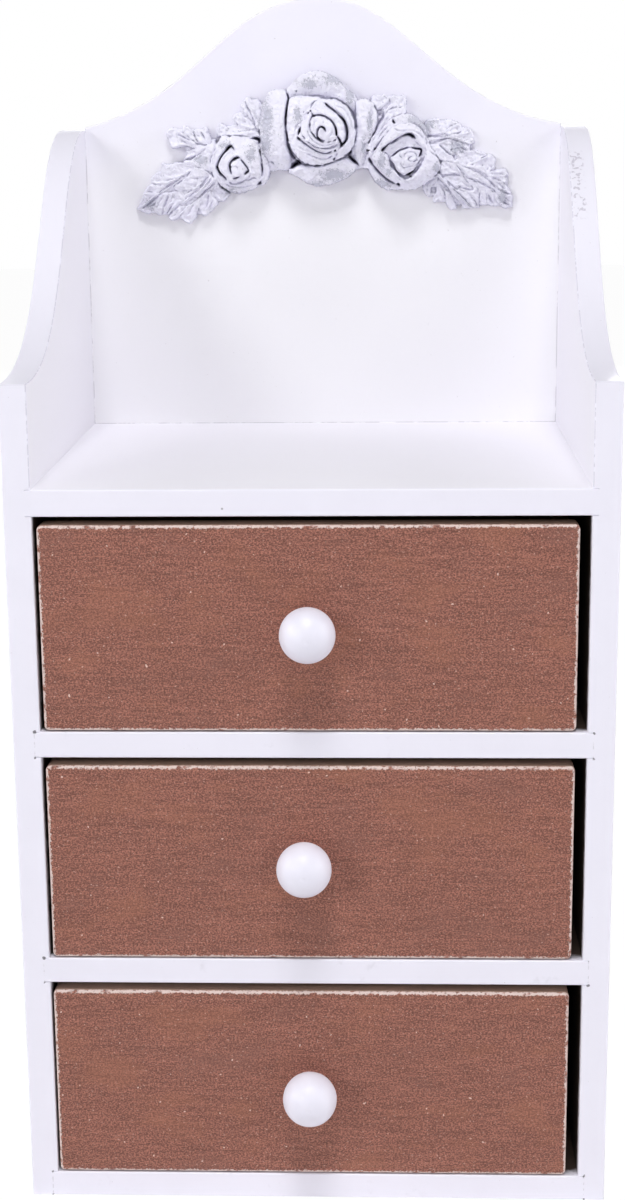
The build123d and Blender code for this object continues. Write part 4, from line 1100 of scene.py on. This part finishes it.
# The clay is soft, so a gap between two lobes or a narrow fold stays shallow
gap_reach, gap_depth = 4, 0.8
filled = spread(spread(relief, gap_reach, np.maximum), gap_reach, np.minimum)
relief = np.maximum(relief, filled - gap_depth)
print("folds", len(leaf_folds), "veins", len(leaf_veins))

# %% [markdown]
# ## Roses
# The petals of a rose follow each other from the outer leaves of the flower to the bud. Each has its
# zoom, its bulge and an outline, whose points have the height of the surface beside their place. Under
# them lie two plain beds, a level band from rose to rose and a wide one for the middle rose, so that
# no gap between two petals goes down to the panel. Their points are places on the garland, in mm.

# %% Petals
leaf_band = (
    (-24.0, -8.6, 4.4), (-12.0, -6.0, 4.6), (0.0, -5.4, 4.6), (12.0, -6.0, 4.6), (24.0, -8.6, 4.4),
    (25.0, -13.4, 4.2), (14.0, -12.0, 4.2), (0.0, -11.4, 4.2), (-14.0, -12.2, 4.2), (-25.0, -13.4, 4.2),
)
rose_bed = (
    (-13.0, 10.0, 4.4), (-5.0, 15.0, 4.6), (5.0, 15.0, 4.6), (11.5, 10.0, 5.4), (14.5, 2.0, 4.8),
    (13.0, -7.0, 4.0), (7.5, -13.0, 3.4), (-2.0, -14.5, 3.4), (-10.0, -11.5, 3.6), (-16.0, -6.0, 4.0),
    (-16.5, 3.0, 4.2),
)
lay(leaf_band, 0.5)
lay(rose_bed, 1.2)
petals = {
    "top petal": ("middle rose", 0.6, [(600, 440, 6), (597, 350, 6.5), (640, 285, 7.2), (740, 200, 8),
     (850, 155, 8.4), (960, 165, 8.4), (1080, 225, 8.4), (1180, 330, 8.2), (1250, 430, 7.8),
     (1285, 530, 6.8), (1200, 560, 6), (1000, 470, 6), (800, 450, 6)]),
    "left petal": ("middle rose", 2.0, [(594, 352, 7.5), (530, 335, 7.2), (450, 352, 6.5), (395, 405, 6),
     (362, 500, 5.6), (350, 600, 5.6), (338, 700, 5.6), (340, 800, 5.6), (360, 900, 5.6), (400, 1000, 5.6),
     (460, 1070, 5.2), (540, 1115, 5), (610, 1130, 4.8), (655, 1095, 5.2), (640, 1000, 7), (612, 900, 8),
     (602, 750, 8.6), (604, 600, 8.6), (612, 450, 8.4)]),
    "right petal": ("middle rose", 1.6, [(1280, 470, 7.2), (1335, 428, 6.8), (1420, 448, 6.4),
     (1468, 530, 6.2), (1490, 620, 6.2), (1480, 700, 6.2), (1440, 780, 6.2), (1405, 850, 6.0),
     (1385, 950, 5.6), (1365, 1050, 5.2), (1320, 1080, 5.2), (1262, 1000, 5.8), (1240, 930, 6.8),
     (1276, 800, 7.8), (1288, 650, 8.2), (1280, 550, 7.8)]),
    "bottom petal": ("middle rose", 0.6, [(620, 1150, 6.4), (700, 1195, 6.4), (800, 1250, 6.4),
     (900, 1292, 6.2), (1000, 1277, 6.2), (1060, 1262, 6.2), (1130, 1232, 6.2), (1200, 1203, 6.2),
     (1270, 1125, 6.4), (1282, 1060, 6.4), (1190, 1010, 7), (1050, 1050, 7.6), (900, 1090, 7.8),
     (760, 1080, 7.6), (700, 1100, 7)]),
    "bottom face": ("middle rose", 0.7, [(636, 1142, 7), (760, 1212, 7.2), (830, 1242, 7.2),
     (880, 1192, 7.5), (960, 1152, 7.7), (1060, 1132, 7.7), (1140, 1132, 7.4), (1240, 1172, 7.0),
     (1278, 1100, 6.8), (1190, 1015, 7.2), (1050, 1055, 8.0), (900, 1092, 8.2), (760, 1085, 8.0),
     (690, 1095, 7.4)]),
    "head": ("middle rose", 1.6, [(640, 422, 8.6), (760, 398, 9), (900, 410, 9.6), (980, 430, 10),
     (1080, 440, 10), (1180, 490, 10), (1240, 580, 10), (1272, 700, 10), (1274, 800, 10), (1248, 900, 9.6),
     (1180, 980, 9.2), (1080, 1035, 9.2), (960, 1075, 9.2), (850, 1078, 9.2), (760, 1050, 9.2),
     (680, 970, 9.2), (632, 870, 9.2), (607, 750, 9.2), (600, 600, 9.2), (606, 500, 9)]),
    "bowl": ("middle rose", -0.8, [(830, 530, 10.2), (760, 600, 9.8), (700, 690, 9.6), (668, 772, 9.8),
     (740, 865, 10), (830, 935, 10), (930, 978, 10), (1020, 985, 10), (1085, 955, 10), (1132, 905, 10),
     (1190, 830, 10), (1196, 700, 10.2), (1130, 585, 10.4), (1030, 505, 10.6), (900, 445, 10.6),
     (840, 480, 10.4)]),
    "second petal": ("middle rose", 0.4, [(700, 790, 10.6), (688, 762, 10.6), (722, 742, 11.2),
     (790, 832, 11.9), (880, 902, 12.1), (1000, 927, 12.1), (1108, 882, 11.6), (1120, 908, 11.1),
     (1088, 938, 11), (1000, 968, 11.2), (900, 958, 11.2), (810, 908, 11), (742, 852, 10.7)]),
    "right outer petal": ("middle rose", 0.5, [(975, 440, 10.6), (1060, 440, 11), (1150, 475, 11),
     (1210, 540, 10.9), (1248, 640, 10.8), (1260, 760, 10.7), (1233, 880, 10.4), (1178, 960, 10),
     (1062, 1035, 9.8), (1090, 960, 10.6), (1140, 905, 11.4), (1198, 835, 12), (1206, 740, 12.3),
     (1192, 660, 12.4), (1140, 582, 12.5), (1065, 532, 12.4), (995, 475, 11.8)]),
    "right inner petal": ("middle rose", 0.5, [(905, 448, 11.8), (960, 478, 12.2), (1035, 532, 12.7),
     (1100, 590, 12.9), (1155, 665, 12.9), (1172, 750, 12.7), (1166, 830, 12.3), (1134, 895, 11.6),
     (1112, 835, 12.5), (1094, 765, 12.9), (1068, 700, 12.9), (1010, 632, 12.9), (930, 592, 12.7),
     (862, 582, 12), (848, 530, 12), (868, 480, 11.8)]),
    "first petal": ("middle rose", 0.5, [(740, 705, 11.2), (762, 640, 11.6), (800, 590, 12),
     (840, 562, 12.1), (852, 600, 12.5), (832, 690, 12.9), (852, 762, 13.1), (902, 828, 13.2),
     (990, 858, 13.2), (1080, 838, 12.9), (1104, 812, 12.5), (1126, 852, 12), (1060, 898, 12.3),
     (960, 915, 12.4), (870, 888, 12.3), (790, 824, 12), (750, 765, 11.6)]),
    "bud": ("middle rose", 0.9, [(852, 602, 12.9), (930, 592, 13.2), (1010, 627, 13.3), (1068, 692, 13.3),
     (1092, 760, 13.2), (1078, 828, 13), (990, 856, 13.1), (905, 824, 13.1), (852, 764, 13.1),
     (830, 690, 12.9)]),
    "left rose": ("left rose", 1.5, [(1008, 592, 5.6), (1100, 586, 6), (1250, 596, 6.6), (1365, 612, 6.8),
     (1392, 650, 7), (1406, 750, 7.4), (1420, 850, 7.4), (1430, 950, 7), (1425, 1040, 6.4),
     (1385, 1110, 5.6), (1300, 1152, 5.4), (1200, 1186, 5.4), (1120, 1176, 5.4), (1030, 1132, 5.6),
     (960, 1062, 5.6), (910, 990, 5.6), (886, 890, 5.6), (900, 780, 5.6), (942, 690, 5.6)]),
    "left ruffle": ("left rose", 0.3, [(1395, 640, 6), (1455, 690, 5.6), (1485, 780, 5.4),
     (1498, 870, 5.2), (1515, 960, 5), (1490, 1040, 5), (1430, 1095, 5), (1400, 1060, 5.4),
     (1420, 900, 6)]),
    "left heart": ("left rose", 0.8, [(1108, 702, 7.8), (1160, 760, 8.2), (1230, 800, 8.4),
     (1300, 880, 8.4), (1320, 960, 8.2), (1260, 1040, 8), (1160, 1075, 7.8), (1075, 1062, 7.6),
     (1010, 1005, 7.6), (974, 920, 7.6), (985, 850, 7.6), (1030, 775, 7.6)]),
    "left bud": ("left rose", 0.9, [(1190, 812, 8.8), (1240, 865, 8.9), (1272, 915, 8.9), (1248, 985, 8.8),
     (1200, 1022, 8.8), (1140, 1020, 8.8), (1100, 970, 8.8), (1090, 900, 8.8), (1118, 845, 8.8)]),
    "right rose": ("right rose", 1.4, [(158, 770, 4.8), (182, 640, 5.6), (240, 520, 6.2), (330, 410, 6.4),
     (390, 350, 6.4), (470, 312, 6.6), (560, 316, 6.8), (640, 362, 6.8), (696, 430, 6.8), (716, 540, 6.8),
     (762, 640, 6.6), (824, 742, 5.8), (808, 860, 5.4), (700, 950, 5.4), (600, 1008, 5.4), (500, 1012, 5.2),
     (400, 1012, 5), (330, 1012, 5), (250, 958, 4.8), (192, 880, 4.8)]),
    "right upper": ("right rose", 0.9, [(242, 640, 7.6), (300, 535, 8), (390, 440, 8.2), (520, 398, 8.4),
     (640, 445, 8.4), (695, 550, 8.2), (706, 640, 8), (650, 600, 8.8), (590, 545, 9.4), (540, 515, 9.4),
     (470, 530, 9.4), (400, 572, 9.2), (330, 628, 8.6), (290, 652, 8)]),
    "right lower": ("right rose", 1.0, [(182, 722, 6.8), (235, 645, 7.6), (300, 660, 8.4), (345, 700, 8.8),
     (380, 790, 9), (440, 875, 9), (510, 920, 8.8), (600, 860, 8.8), (680, 740, 8.4), (716, 655, 7.6),
     (800, 735, 6.8), (790, 850, 6.4), (690, 930, 6.4), (560, 985, 6.4), (450, 968, 6.6), (350, 918, 6.6),
     (260, 840, 6.6)]),
    "right eye": ("right rose", 0.8, [(378, 724, 9.2), (440, 668, 9.6), (500, 638, 9.8), (560, 628, 9.8),
     (620, 640, 9.6), (650, 668, 9.4), (640, 730, 9.3), (600, 820, 9.2), (530, 874, 9), (470, 866, 9),
     (425, 820, 9), (398, 770, 9.1)]),
    "right nest": ("right rose", 0.3, [(452, 690, 10.0), (500, 660, 10.3), (560, 650, 10.4),
     (612, 664, 10.2), (628, 715, 10.0), (596, 788, 9.8), (525, 836, 9.6), (465, 806, 9.6),
     (440, 745, 9.8)]),
    "right core": ("right rose", 0.3, [(506, 700, 10.7), (550, 676, 11.0), (600, 690, 10.9),
     (604, 738, 10.7), (552, 776, 10.5), (508, 758, 10.5)]),
}
for zoom, bulge, outline in petals.values():
    lay([(*seen_at(zoom, x, y, height), height) for x, y, height in outline], bulge)
print("petals", len(petals))

# %% Crevices between the petals
# For each zoom: depth, half width, height of the surface, line
petal_lines = {
    "middle rose": (
        (2.2, 0.32, 8.5, [(596, 352), (618, 440), (604, 520), (597, 620), (592, 700), (600, 800),
         (612, 900), (645, 975), (700, 1040)]),
        (3.2, 0.26, 8.5, [(616, 420), (606, 500), (598, 560), (590, 640), (594, 730)]),
        (5.0, 0.66, 8.0, [(628, 1122), (668, 1090), (700, 1062), (716, 1030)]),
        (4.6, 0.50, 8.0, [(684, 1020), (715, 1052), (760, 1078)]),
        (1.6, 0.28, 9.0, [(742, 1074), (850, 1092), (950, 1086), (1080, 1040), (1200, 990)]),
        (4.6, 0.34, 8.0, [(1244, 915), (1224, 955), (1185, 1002)]),
        (5.0, 0.50, 8.0, [(1205, 972), (1240, 1022), (1318, 1088)]),
        (1.8, 0.40, 6.0, [(1246, 930), (1262, 980), (1256, 1030)]),
        (2.4, 0.30, 13.6, [(988, 772), (975, 725), (942, 703), (914, 722), (904, 770), (906, 808),
         (940, 836), (1010, 842)]),
        (3.8, 0.30, 13.6, [(902, 790), (912, 815), (945, 836)]),
        (3.4, 0.24, 13.6, [(918, 716), (945, 704), (970, 722), (985, 765)]),
        (1.6, 0.26, 12.6, [(862, 598), (836, 640), (825, 700), (840, 752), (880, 800)]),
        (2.4, 0.30, 12.5, [(845, 598), (930, 590), (1000, 612), (1050, 655), (1078, 710), (1092, 780)]),
        (4.0, 0.30, 12.5, [(848, 592), (868, 598), (895, 590)]),
        (4.0, 0.30, 12.5, [(1066, 670), (1084, 720), (1092, 780), (1094, 800)]),
        (4.4, 0.34, 12.0, [(1088, 785), (1118, 820), (1138, 870), (1130, 915)]),
        (2.0, 0.28, 12.5, [(968, 465), (1010, 500), (1062, 540), (1112, 583)]),
        (3.4, 0.24, 12.5, [(972, 468), (990, 482), (1004, 498)]),
        (4.2, 0.38, 12.5, [(1092, 570), (1160, 640), (1190, 710), (1196, 785), (1182, 842), (1145, 880),
         (1128, 905)]),
        (1.8, 0.28, 10.5, [(1110, 940), (1090, 985), (1064, 1030)]),
        (4.0, 0.28, 10.5, [(1080, 1000), (1068, 1022), (1052, 1028)]),
        (3.0, 0.26, 10.5, [(1088, 922), (1078, 936), (1064, 936)]),
        (4.0, 0.34, 10.5, [(744, 694), (727, 745), (713, 795)]),
        (4.0, 0.32, 10.5, [(700, 800), (722, 822), (748, 842)]),
        (2.0, 0.28, 11.5, [(712, 806), (780, 866), (860, 920), (935, 958), (1000, 962), (1060, 935)]),
        (1.2, 0.26, 11.5, [(800, 700), (825, 790), (880, 850), (960, 885), (1040, 875), (1095, 850)]),
        (1.4, 0.28, 10.0, [(780, 955), (860, 992), (950, 1022), (1020, 1005), (1060, 975)]),
        (0.9, 0.26, 10.0, [(700, 880), (760, 925), (830, 945)]),
        (0.8, 0.24, 13.2, [(935, 622), (1000, 640), (1045, 690)]),
        (0.8, 0.24, 13.2, [(890, 635), (870, 690), (885, 745)]),
        (1.0, 0.26, 13.2, [(1050, 700), (1045, 770), (1010, 805)]),
        (2.0, 0.22, 11.0, [(826, 538), (838, 550), (842, 562)]),
        (2.0, 0.22, 11.0, [(798, 578), (814, 570), (826, 562)]),
        (1.6, 0.22, 10.6, [(760, 566), (772, 558), (784, 556)]),
        (1.4, 0.24, 10.6, [(778, 600), (784, 622), (774, 650)]),
        (1.6, 0.28, 12.0, [(842, 540), (850, 490), (876, 455), (910, 442)]),
        (1.0, 0.34, 11.5, [(860, 520), (900, 545), (950, 580)]),
        (2.2, 0.24, 7.8, [(686, 346), (696, 354), (700, 366)]),
        (1.4, 0.30, 8.5, [(1000, 425), (1100, 442), (1190, 500), (1255, 575), (1282, 680), (1290, 770),
         (1262, 880)]),
        (1.2, 0.26, 10.2, [(1060, 498), (1150, 525), (1212, 605), (1236, 690), (1238, 765), (1205, 850)]),
        (0.9, 0.28, 9.8, [(985, 432), (940, 400), (800, 408), (690, 430)]),
        (1.2, 0.26, 11.5, [(745, 660), (700, 690), (690, 760)]),
        (0.9, 0.30, 6.5, [(1420, 455), (1440, 560), (1420, 640), (1440, 720)]),
        (0.9, 0.30, 6.0, [(1400, 850), (1345, 940), (1325, 1030)]),
        (3.0, 0.34, 5.5, [(240, 822), (300, 822), (335, 845)]),
        (0.9, 0.30, 5.5, [(430, 1022), (500, 1082)]),
    ),
    "left rose": (
        (2.6, 0.32, 8.0, [(1150, 748), (1105, 698), (1060, 735), (1010, 790), (975, 855), (962, 915),
         (985, 975), (1030, 1010), (1078, 1066)]),
        (4.4, 0.42, 8.0, [(1122, 706), (1096, 694), (1062, 725), (1025, 768)]),
        (3.6, 0.34, 8.0, [(945, 890), (960, 928), (990, 978), (1040, 1020)]),
        (2.8, 0.32, 9.0, [(1200, 820), (1150, 820), (1110, 852), (1092, 895), (1098, 950), (1125, 1005)]),
        (4.4, 0.42, 9.0, [(1206, 828), (1176, 814), (1136, 830), (1104, 866)]),
        (3.8, 0.30, 9.0, [(1090, 880), (1098, 912), (1122, 902)]),
        (2.2, 0.28, 9.0, [(1192, 812), (1236, 866), (1272, 915), (1280, 945)]),
        (4.4, 0.38, 9.0, [(1272, 910), (1282, 948), (1262, 972), (1232, 988)]),
        (2.2, 0.28, 8.6, [(1118, 1032), (1160, 1026), (1216, 1006)]),
        (1.4, 0.24, 9.6, [(1125, 925), (1155, 905), (1176, 930), (1156, 962)]),
        (1.2, 0.28, 6.5, [(1000, 610), (950, 700), (905, 800), (884, 890)]),
        (0.9, 0.26, 6.5, [(962, 735), (935, 800), (918, 860)]),
        (1.4, 0.28, 7.6, [(1075, 1060), (1110, 1085), (1155, 1090), (1220, 1068), (1280, 1022),
         (1315, 975)]),
        (1.4, 0.28, 7.0, [(1030, 1075), (1100, 1112), (1180, 1122), (1280, 1112), (1372, 1094)]),
        (1.8, 0.26, 7.5, [(1235, 1058), (1300, 1045), (1342, 1022), (1395, 1042)]),
        (4.6, 0.38, 6.5, [(1424, 1045), (1400, 1082), (1368, 1098)]),
        (1.6, 0.30, 7.2, [(1392, 660), (1410, 790), (1428, 910), (1425, 990), (1398, 1045)]),
        (2.4, 0.26, 7.2, [(1412, 840), (1429, 920), (1425, 990)]),
        (2.0, 0.30, 6.0, [(1270, 604), (1340, 612), (1385, 622)]),
        (4.8, 0.50, 6.0, [(1322, 610), (1372, 614), (1398, 640), (1382, 690)]),
        (1.6, 0.26, 5.4, [(1500, 838), (1540, 862), (1568, 890)]),
    ),
    "right rose": (
        (2.4, 0.32, 9.2, [(292, 655), (350, 597), (400, 565), (470, 522), (540, 505), (612, 550)]),
        (4.8, 0.42, 9.2, [(480, 516), (540, 500), (580, 513), (616, 556)]),
        (4.0, 0.34, 9.2, [(286, 662), (303, 638), (345, 602)]),
        (2.2, 0.28, 9.8, [(372, 722), (440, 665), (500, 638), (560, 622)]),
        (3.8, 0.32, 9.8, [(552, 622), (608, 634), (656, 640), (650, 682), (626, 722)]),
        (1.8, 0.30, 9.2, [(368, 718), (400, 780), (430, 842), (478, 880)]),
        (1.8, 0.24, 10.2, [(446, 672), (465, 705), (494, 724)]),
        (1.6, 0.24, 10.9, [(500, 712), (512, 682), (556, 664), (602, 676), (618, 712), (600, 744),
         (560, 752), (540, 728), (566, 706), (592, 712)]),
        (1.2, 0.22, 10.4, [(478, 738), (470, 778), (496, 806), (550, 800), (600, 782), (636, 750),
         (640, 700)]),
        (4.4, 0.30, 9.0, [(500, 882), (550, 862), (610, 822)]),
        (2.6, 0.22, 9.0, [(542, 893), (560, 892), (578, 884)]),
        (1.3, 0.26, 8.4, [(408, 878), (450, 912), (520, 938), (605, 924)]),
        (2.4, 0.32, 6.8, [(205, 770), (270, 852), (350, 920), (430, 964)]),
        (4.6, 0.40, 6.8, [(168, 708), (190, 745), (228, 802)]),
        (3.4, 0.34, 6.8, [(422, 954), (448, 960), (466, 984)]),
        (1.6, 0.28, 7.2, [(180, 720), (205, 690), (232, 640), (300, 540), (390, 440)]),
        (3.2, 0.28, 7.2, [(220, 655), (230, 636), (240, 622)]),
        (3.8, 0.34, 7.0, [(396, 354), (402, 385), (424, 406)]),
        (1.6, 0.26, 7.0, [(720, 652), (780, 690), (824, 732)]),
        (1.2, 0.28, 7.8, [(410, 440), (450, 472), (560, 468), (640, 500), (690, 560)]),
        (1.2, 0.28, 7.4, [(540, 380), (640, 432), (698, 520), (704, 620)]),
        (1.0, 0.28, 8.2, [(300, 660), (340, 700), (372, 780), (400, 860)]),
        (1.0, 0.26, 7.4, [(250, 560), (300, 480), (360, 420)]),
    ),
}
deep_crevice, crevice_share = 1.9, 0.5  # a crevice that is not deep is cut to this share
for depth, width, line in read_lines(petal_lines):
    carve(line, depth * crevice_share if depth < deep_crevice else depth, width)
print("crevices", len(read_lines(petal_lines)))

# %% [markdown]
# ## From heights to a casting
# The grid becomes a closed skin: a front at the heights, and a flat back just inside the panel's face.
# A little seeded noise makes the surface look pressed by fingers. How much a place lies below its
# surroundings, its `hollow`, is the key to the paint, and to the painted shade in the hollows.

# %% The casting
rough = blur(np.where(relief < 6.4, 1.0, 0.8), 1.0)
for size, height in ((0.2, 0.07), (0.42, 0.12), (1.3, 0.12)):
    relief = relief + height * rough * clay(size) * (relief > 0.4)
# The crevices' painted shade varies a little from place to place
crevice_painted_shade = crevice_painted_shade * np.clip(0.85 + 0.25 * clay(0.7), 0.3, 1.2)
relief = np.where(relief > 0.4, np.maximum(relief, 0.5), relief)
narrow_hollow = np.clip(blur(relief, 0.3) - relief, -1, 1.2)
wide_hollow = np.clip(blur(relief, 0.9) - relief, -1.5, 1.6)
hollow = narrow_hollow * 0.9 + wide_hollow * 0.35

rubbed_spots = (  # x, z, half width, half height of the places where the white is rubbed off
    (-17.6, 4.0, 2.2, 6.5), (-18.0, -3.5, 2.2, 3.6), (4.6, 16.2, 5.2, 1.7), (9.4, 11.6, 1.6, 3.4),
    (-3.4, 14.8, 2.6, 1.6), (4.2, -13.9, 4.6, 1.9), (-1.4, -16.6, 2.6, 1.0), (15.6, 2.6, 0.9, 4.6),
    (13.6, -5.0, 0.9, 2.6), (19.0, -16.6, 3.6, 1.4), (30.4, 3.4, 3.8, 1.5), (34.0, -0.2, 1.0, 2.4),
    (19.6, -9.0, 1.4, 3.2), (21.5, -12.5, 1.2, 1.6), (-22.6, -7.0, 1.6, 2.6), (-31.0, -4.0, 2.0, 1.2),
    (-26.0, -20.0, 2.6, 1.4), (-39.0, -8.5, 2.6, 1.6), (-30.0, -18.6, 2.0, 1.0), (37.0, -12.0, 1.4, 2.0),
    (44.0, -5.4, 3.0, 2.4), (33.6, 1.6, 2.6, 2.2), (58.6, -21.0, 1.6, 3.0), (-56.0, -22.6, 1.8, 1.8),
    (-7.4, 5.4, 1.2, 2.6),
)
rub = np.zeros(relief.shape)
for x, z, wide, tall in rubbed_spots:
    rub = np.maximum(rub, np.exp(-(((grid_x - x) / wide) ** 2 + ((grid_z - z) / tall) ** 2)))

solid = relief > 0
cells = solid[:-1, :-1] | solid[1:, :-1] | solid[1:, 1:] | solid[:-1, 1:]
used = np.zeros(relief.shape, bool)
for part in (used[:-1, :-1], used[1:, :-1], used[1:, 1:], used[:-1, 1:]):
    part |= cells
back = np.full(relief.shape, -1)
back[used] = np.arange(used.sum())
front = np.where(solid, used.sum() + np.cumsum(solid).reshape(solid.shape) - 1, back)
back_height = -0.05  # the flat back lies this far inside the panel


def back_and_front(behind, before):
    """A value for each point of the back, then for each point of the front."""
    return np.concatenate([np.broadcast_to(behind, relief.shape)[used], before[solid]])


points = np.column_stack([back_and_front(grid_x, grid_x), panel_face - back_and_front(back_height, relief),
                          garland_z + back_and_front(grid_z, grid_z)])
quads = []
for skin, order in ((front, 1), (back, -1)):
    corners = np.stack([skin[:-1, :-1], skin[:-1, 1:], skin[1:, 1:], skin[1:, :-1]], -1)[cells]
    quads.append(corners[:, ::order])
faces = np.concatenate(quads).tolist()
print("garland faces", len(faces), "highest", round(float(relief.max()), 1))

# %% [markdown]
# ## Brushed white over grey
# A dry brush of white touches what stands out and misses the hollows, so the `hollow` value mixes
# white with grey: partly the grey ground that the brush missed, partly painted shade. The crevices are
# painted grey and black as painted shade. Where the casting was rubbed the blue-grey ground shows in
# flaky patches with hard edges: `rub` says where, and fine noise gives the flakes.


# %% Garland material
def brushed_cast():
    f = Finish("brushed_cast", Specular_IOR_Level=0.3)
    hollow, crevice_painted_shade, rub = (f.node("ShaderNodeAttribute", {"attribute_name": name}, {}, "Fac")
                         for name in ("hollow", "crevice_painted_shade", "rub"))
    grain = f.noise(0.45, 3.0, 0.65)
    crumbs = f.noise(0.9, 3.0, 0.6, shift=9.0)
    cloud = f.noise(3.2, 3.0, 0.6, shift=5.0)
    tone = f.mix(cloud, colour(230, 228, 246), colour(247, 246, 255))
    # Grey in the hollows: partly the grey ground that a dry brush misses, partly painted shade
    tone = f.mix(f.step(hollow + (grain - 0.5) * 0.4, 0.02, 0.6) * 0.75, tone, colour(176, 172, 196))
    flake = f.step(rub + (cloud - 0.5) * 1.1 + (crumbs - 0.5) * 1.4 + (grain - 0.5) * 2.4, 0.52, 0.57)
    scattered = f.step(crumbs + (cloud - 0.5) * 0.5 + hollow * 0.3, 0.66, 0.72)
    tone = f.mix(flake.higher(scattered * 0.6) * 0.75, tone, colour(186, 187, 203))
    # Painted shade: deep crevices turn grey-violet, then nearly black
    tone = f.mix(f.step(crevice_painted_shade + (grain - 0.5) * 0.12, 0.06, 0.42) * 0.85, tone, colour(154, 149, 176))
    tone = f.mix(f.step(crevice_painted_shade + (grain - 0.5) * 0.2, 0.42, 0.88) * 0.96, tone, colour(38, 33, 46))
    relief = grain * 0.5 + crumbs - flake * 0.5
    return f.paint(tone, 0.5 + 0.2 * cloud, relief, 0.3)


garland = piece_from_mesh("rose_garland_casting", points, faces, brushed_cast(), "carcass",
                          "rose_garland")
for name, field in (("hollow", hollow), ("crevice_painted_shade", crevice_painted_shade), ("rub", rub)):
    values = back_and_front(0.0, field).astype(np.float32)
    garland.data.attributes.new(name, "FLOAT", "POINT").data.foreach_set("value", values)
print("garland points", len(points))
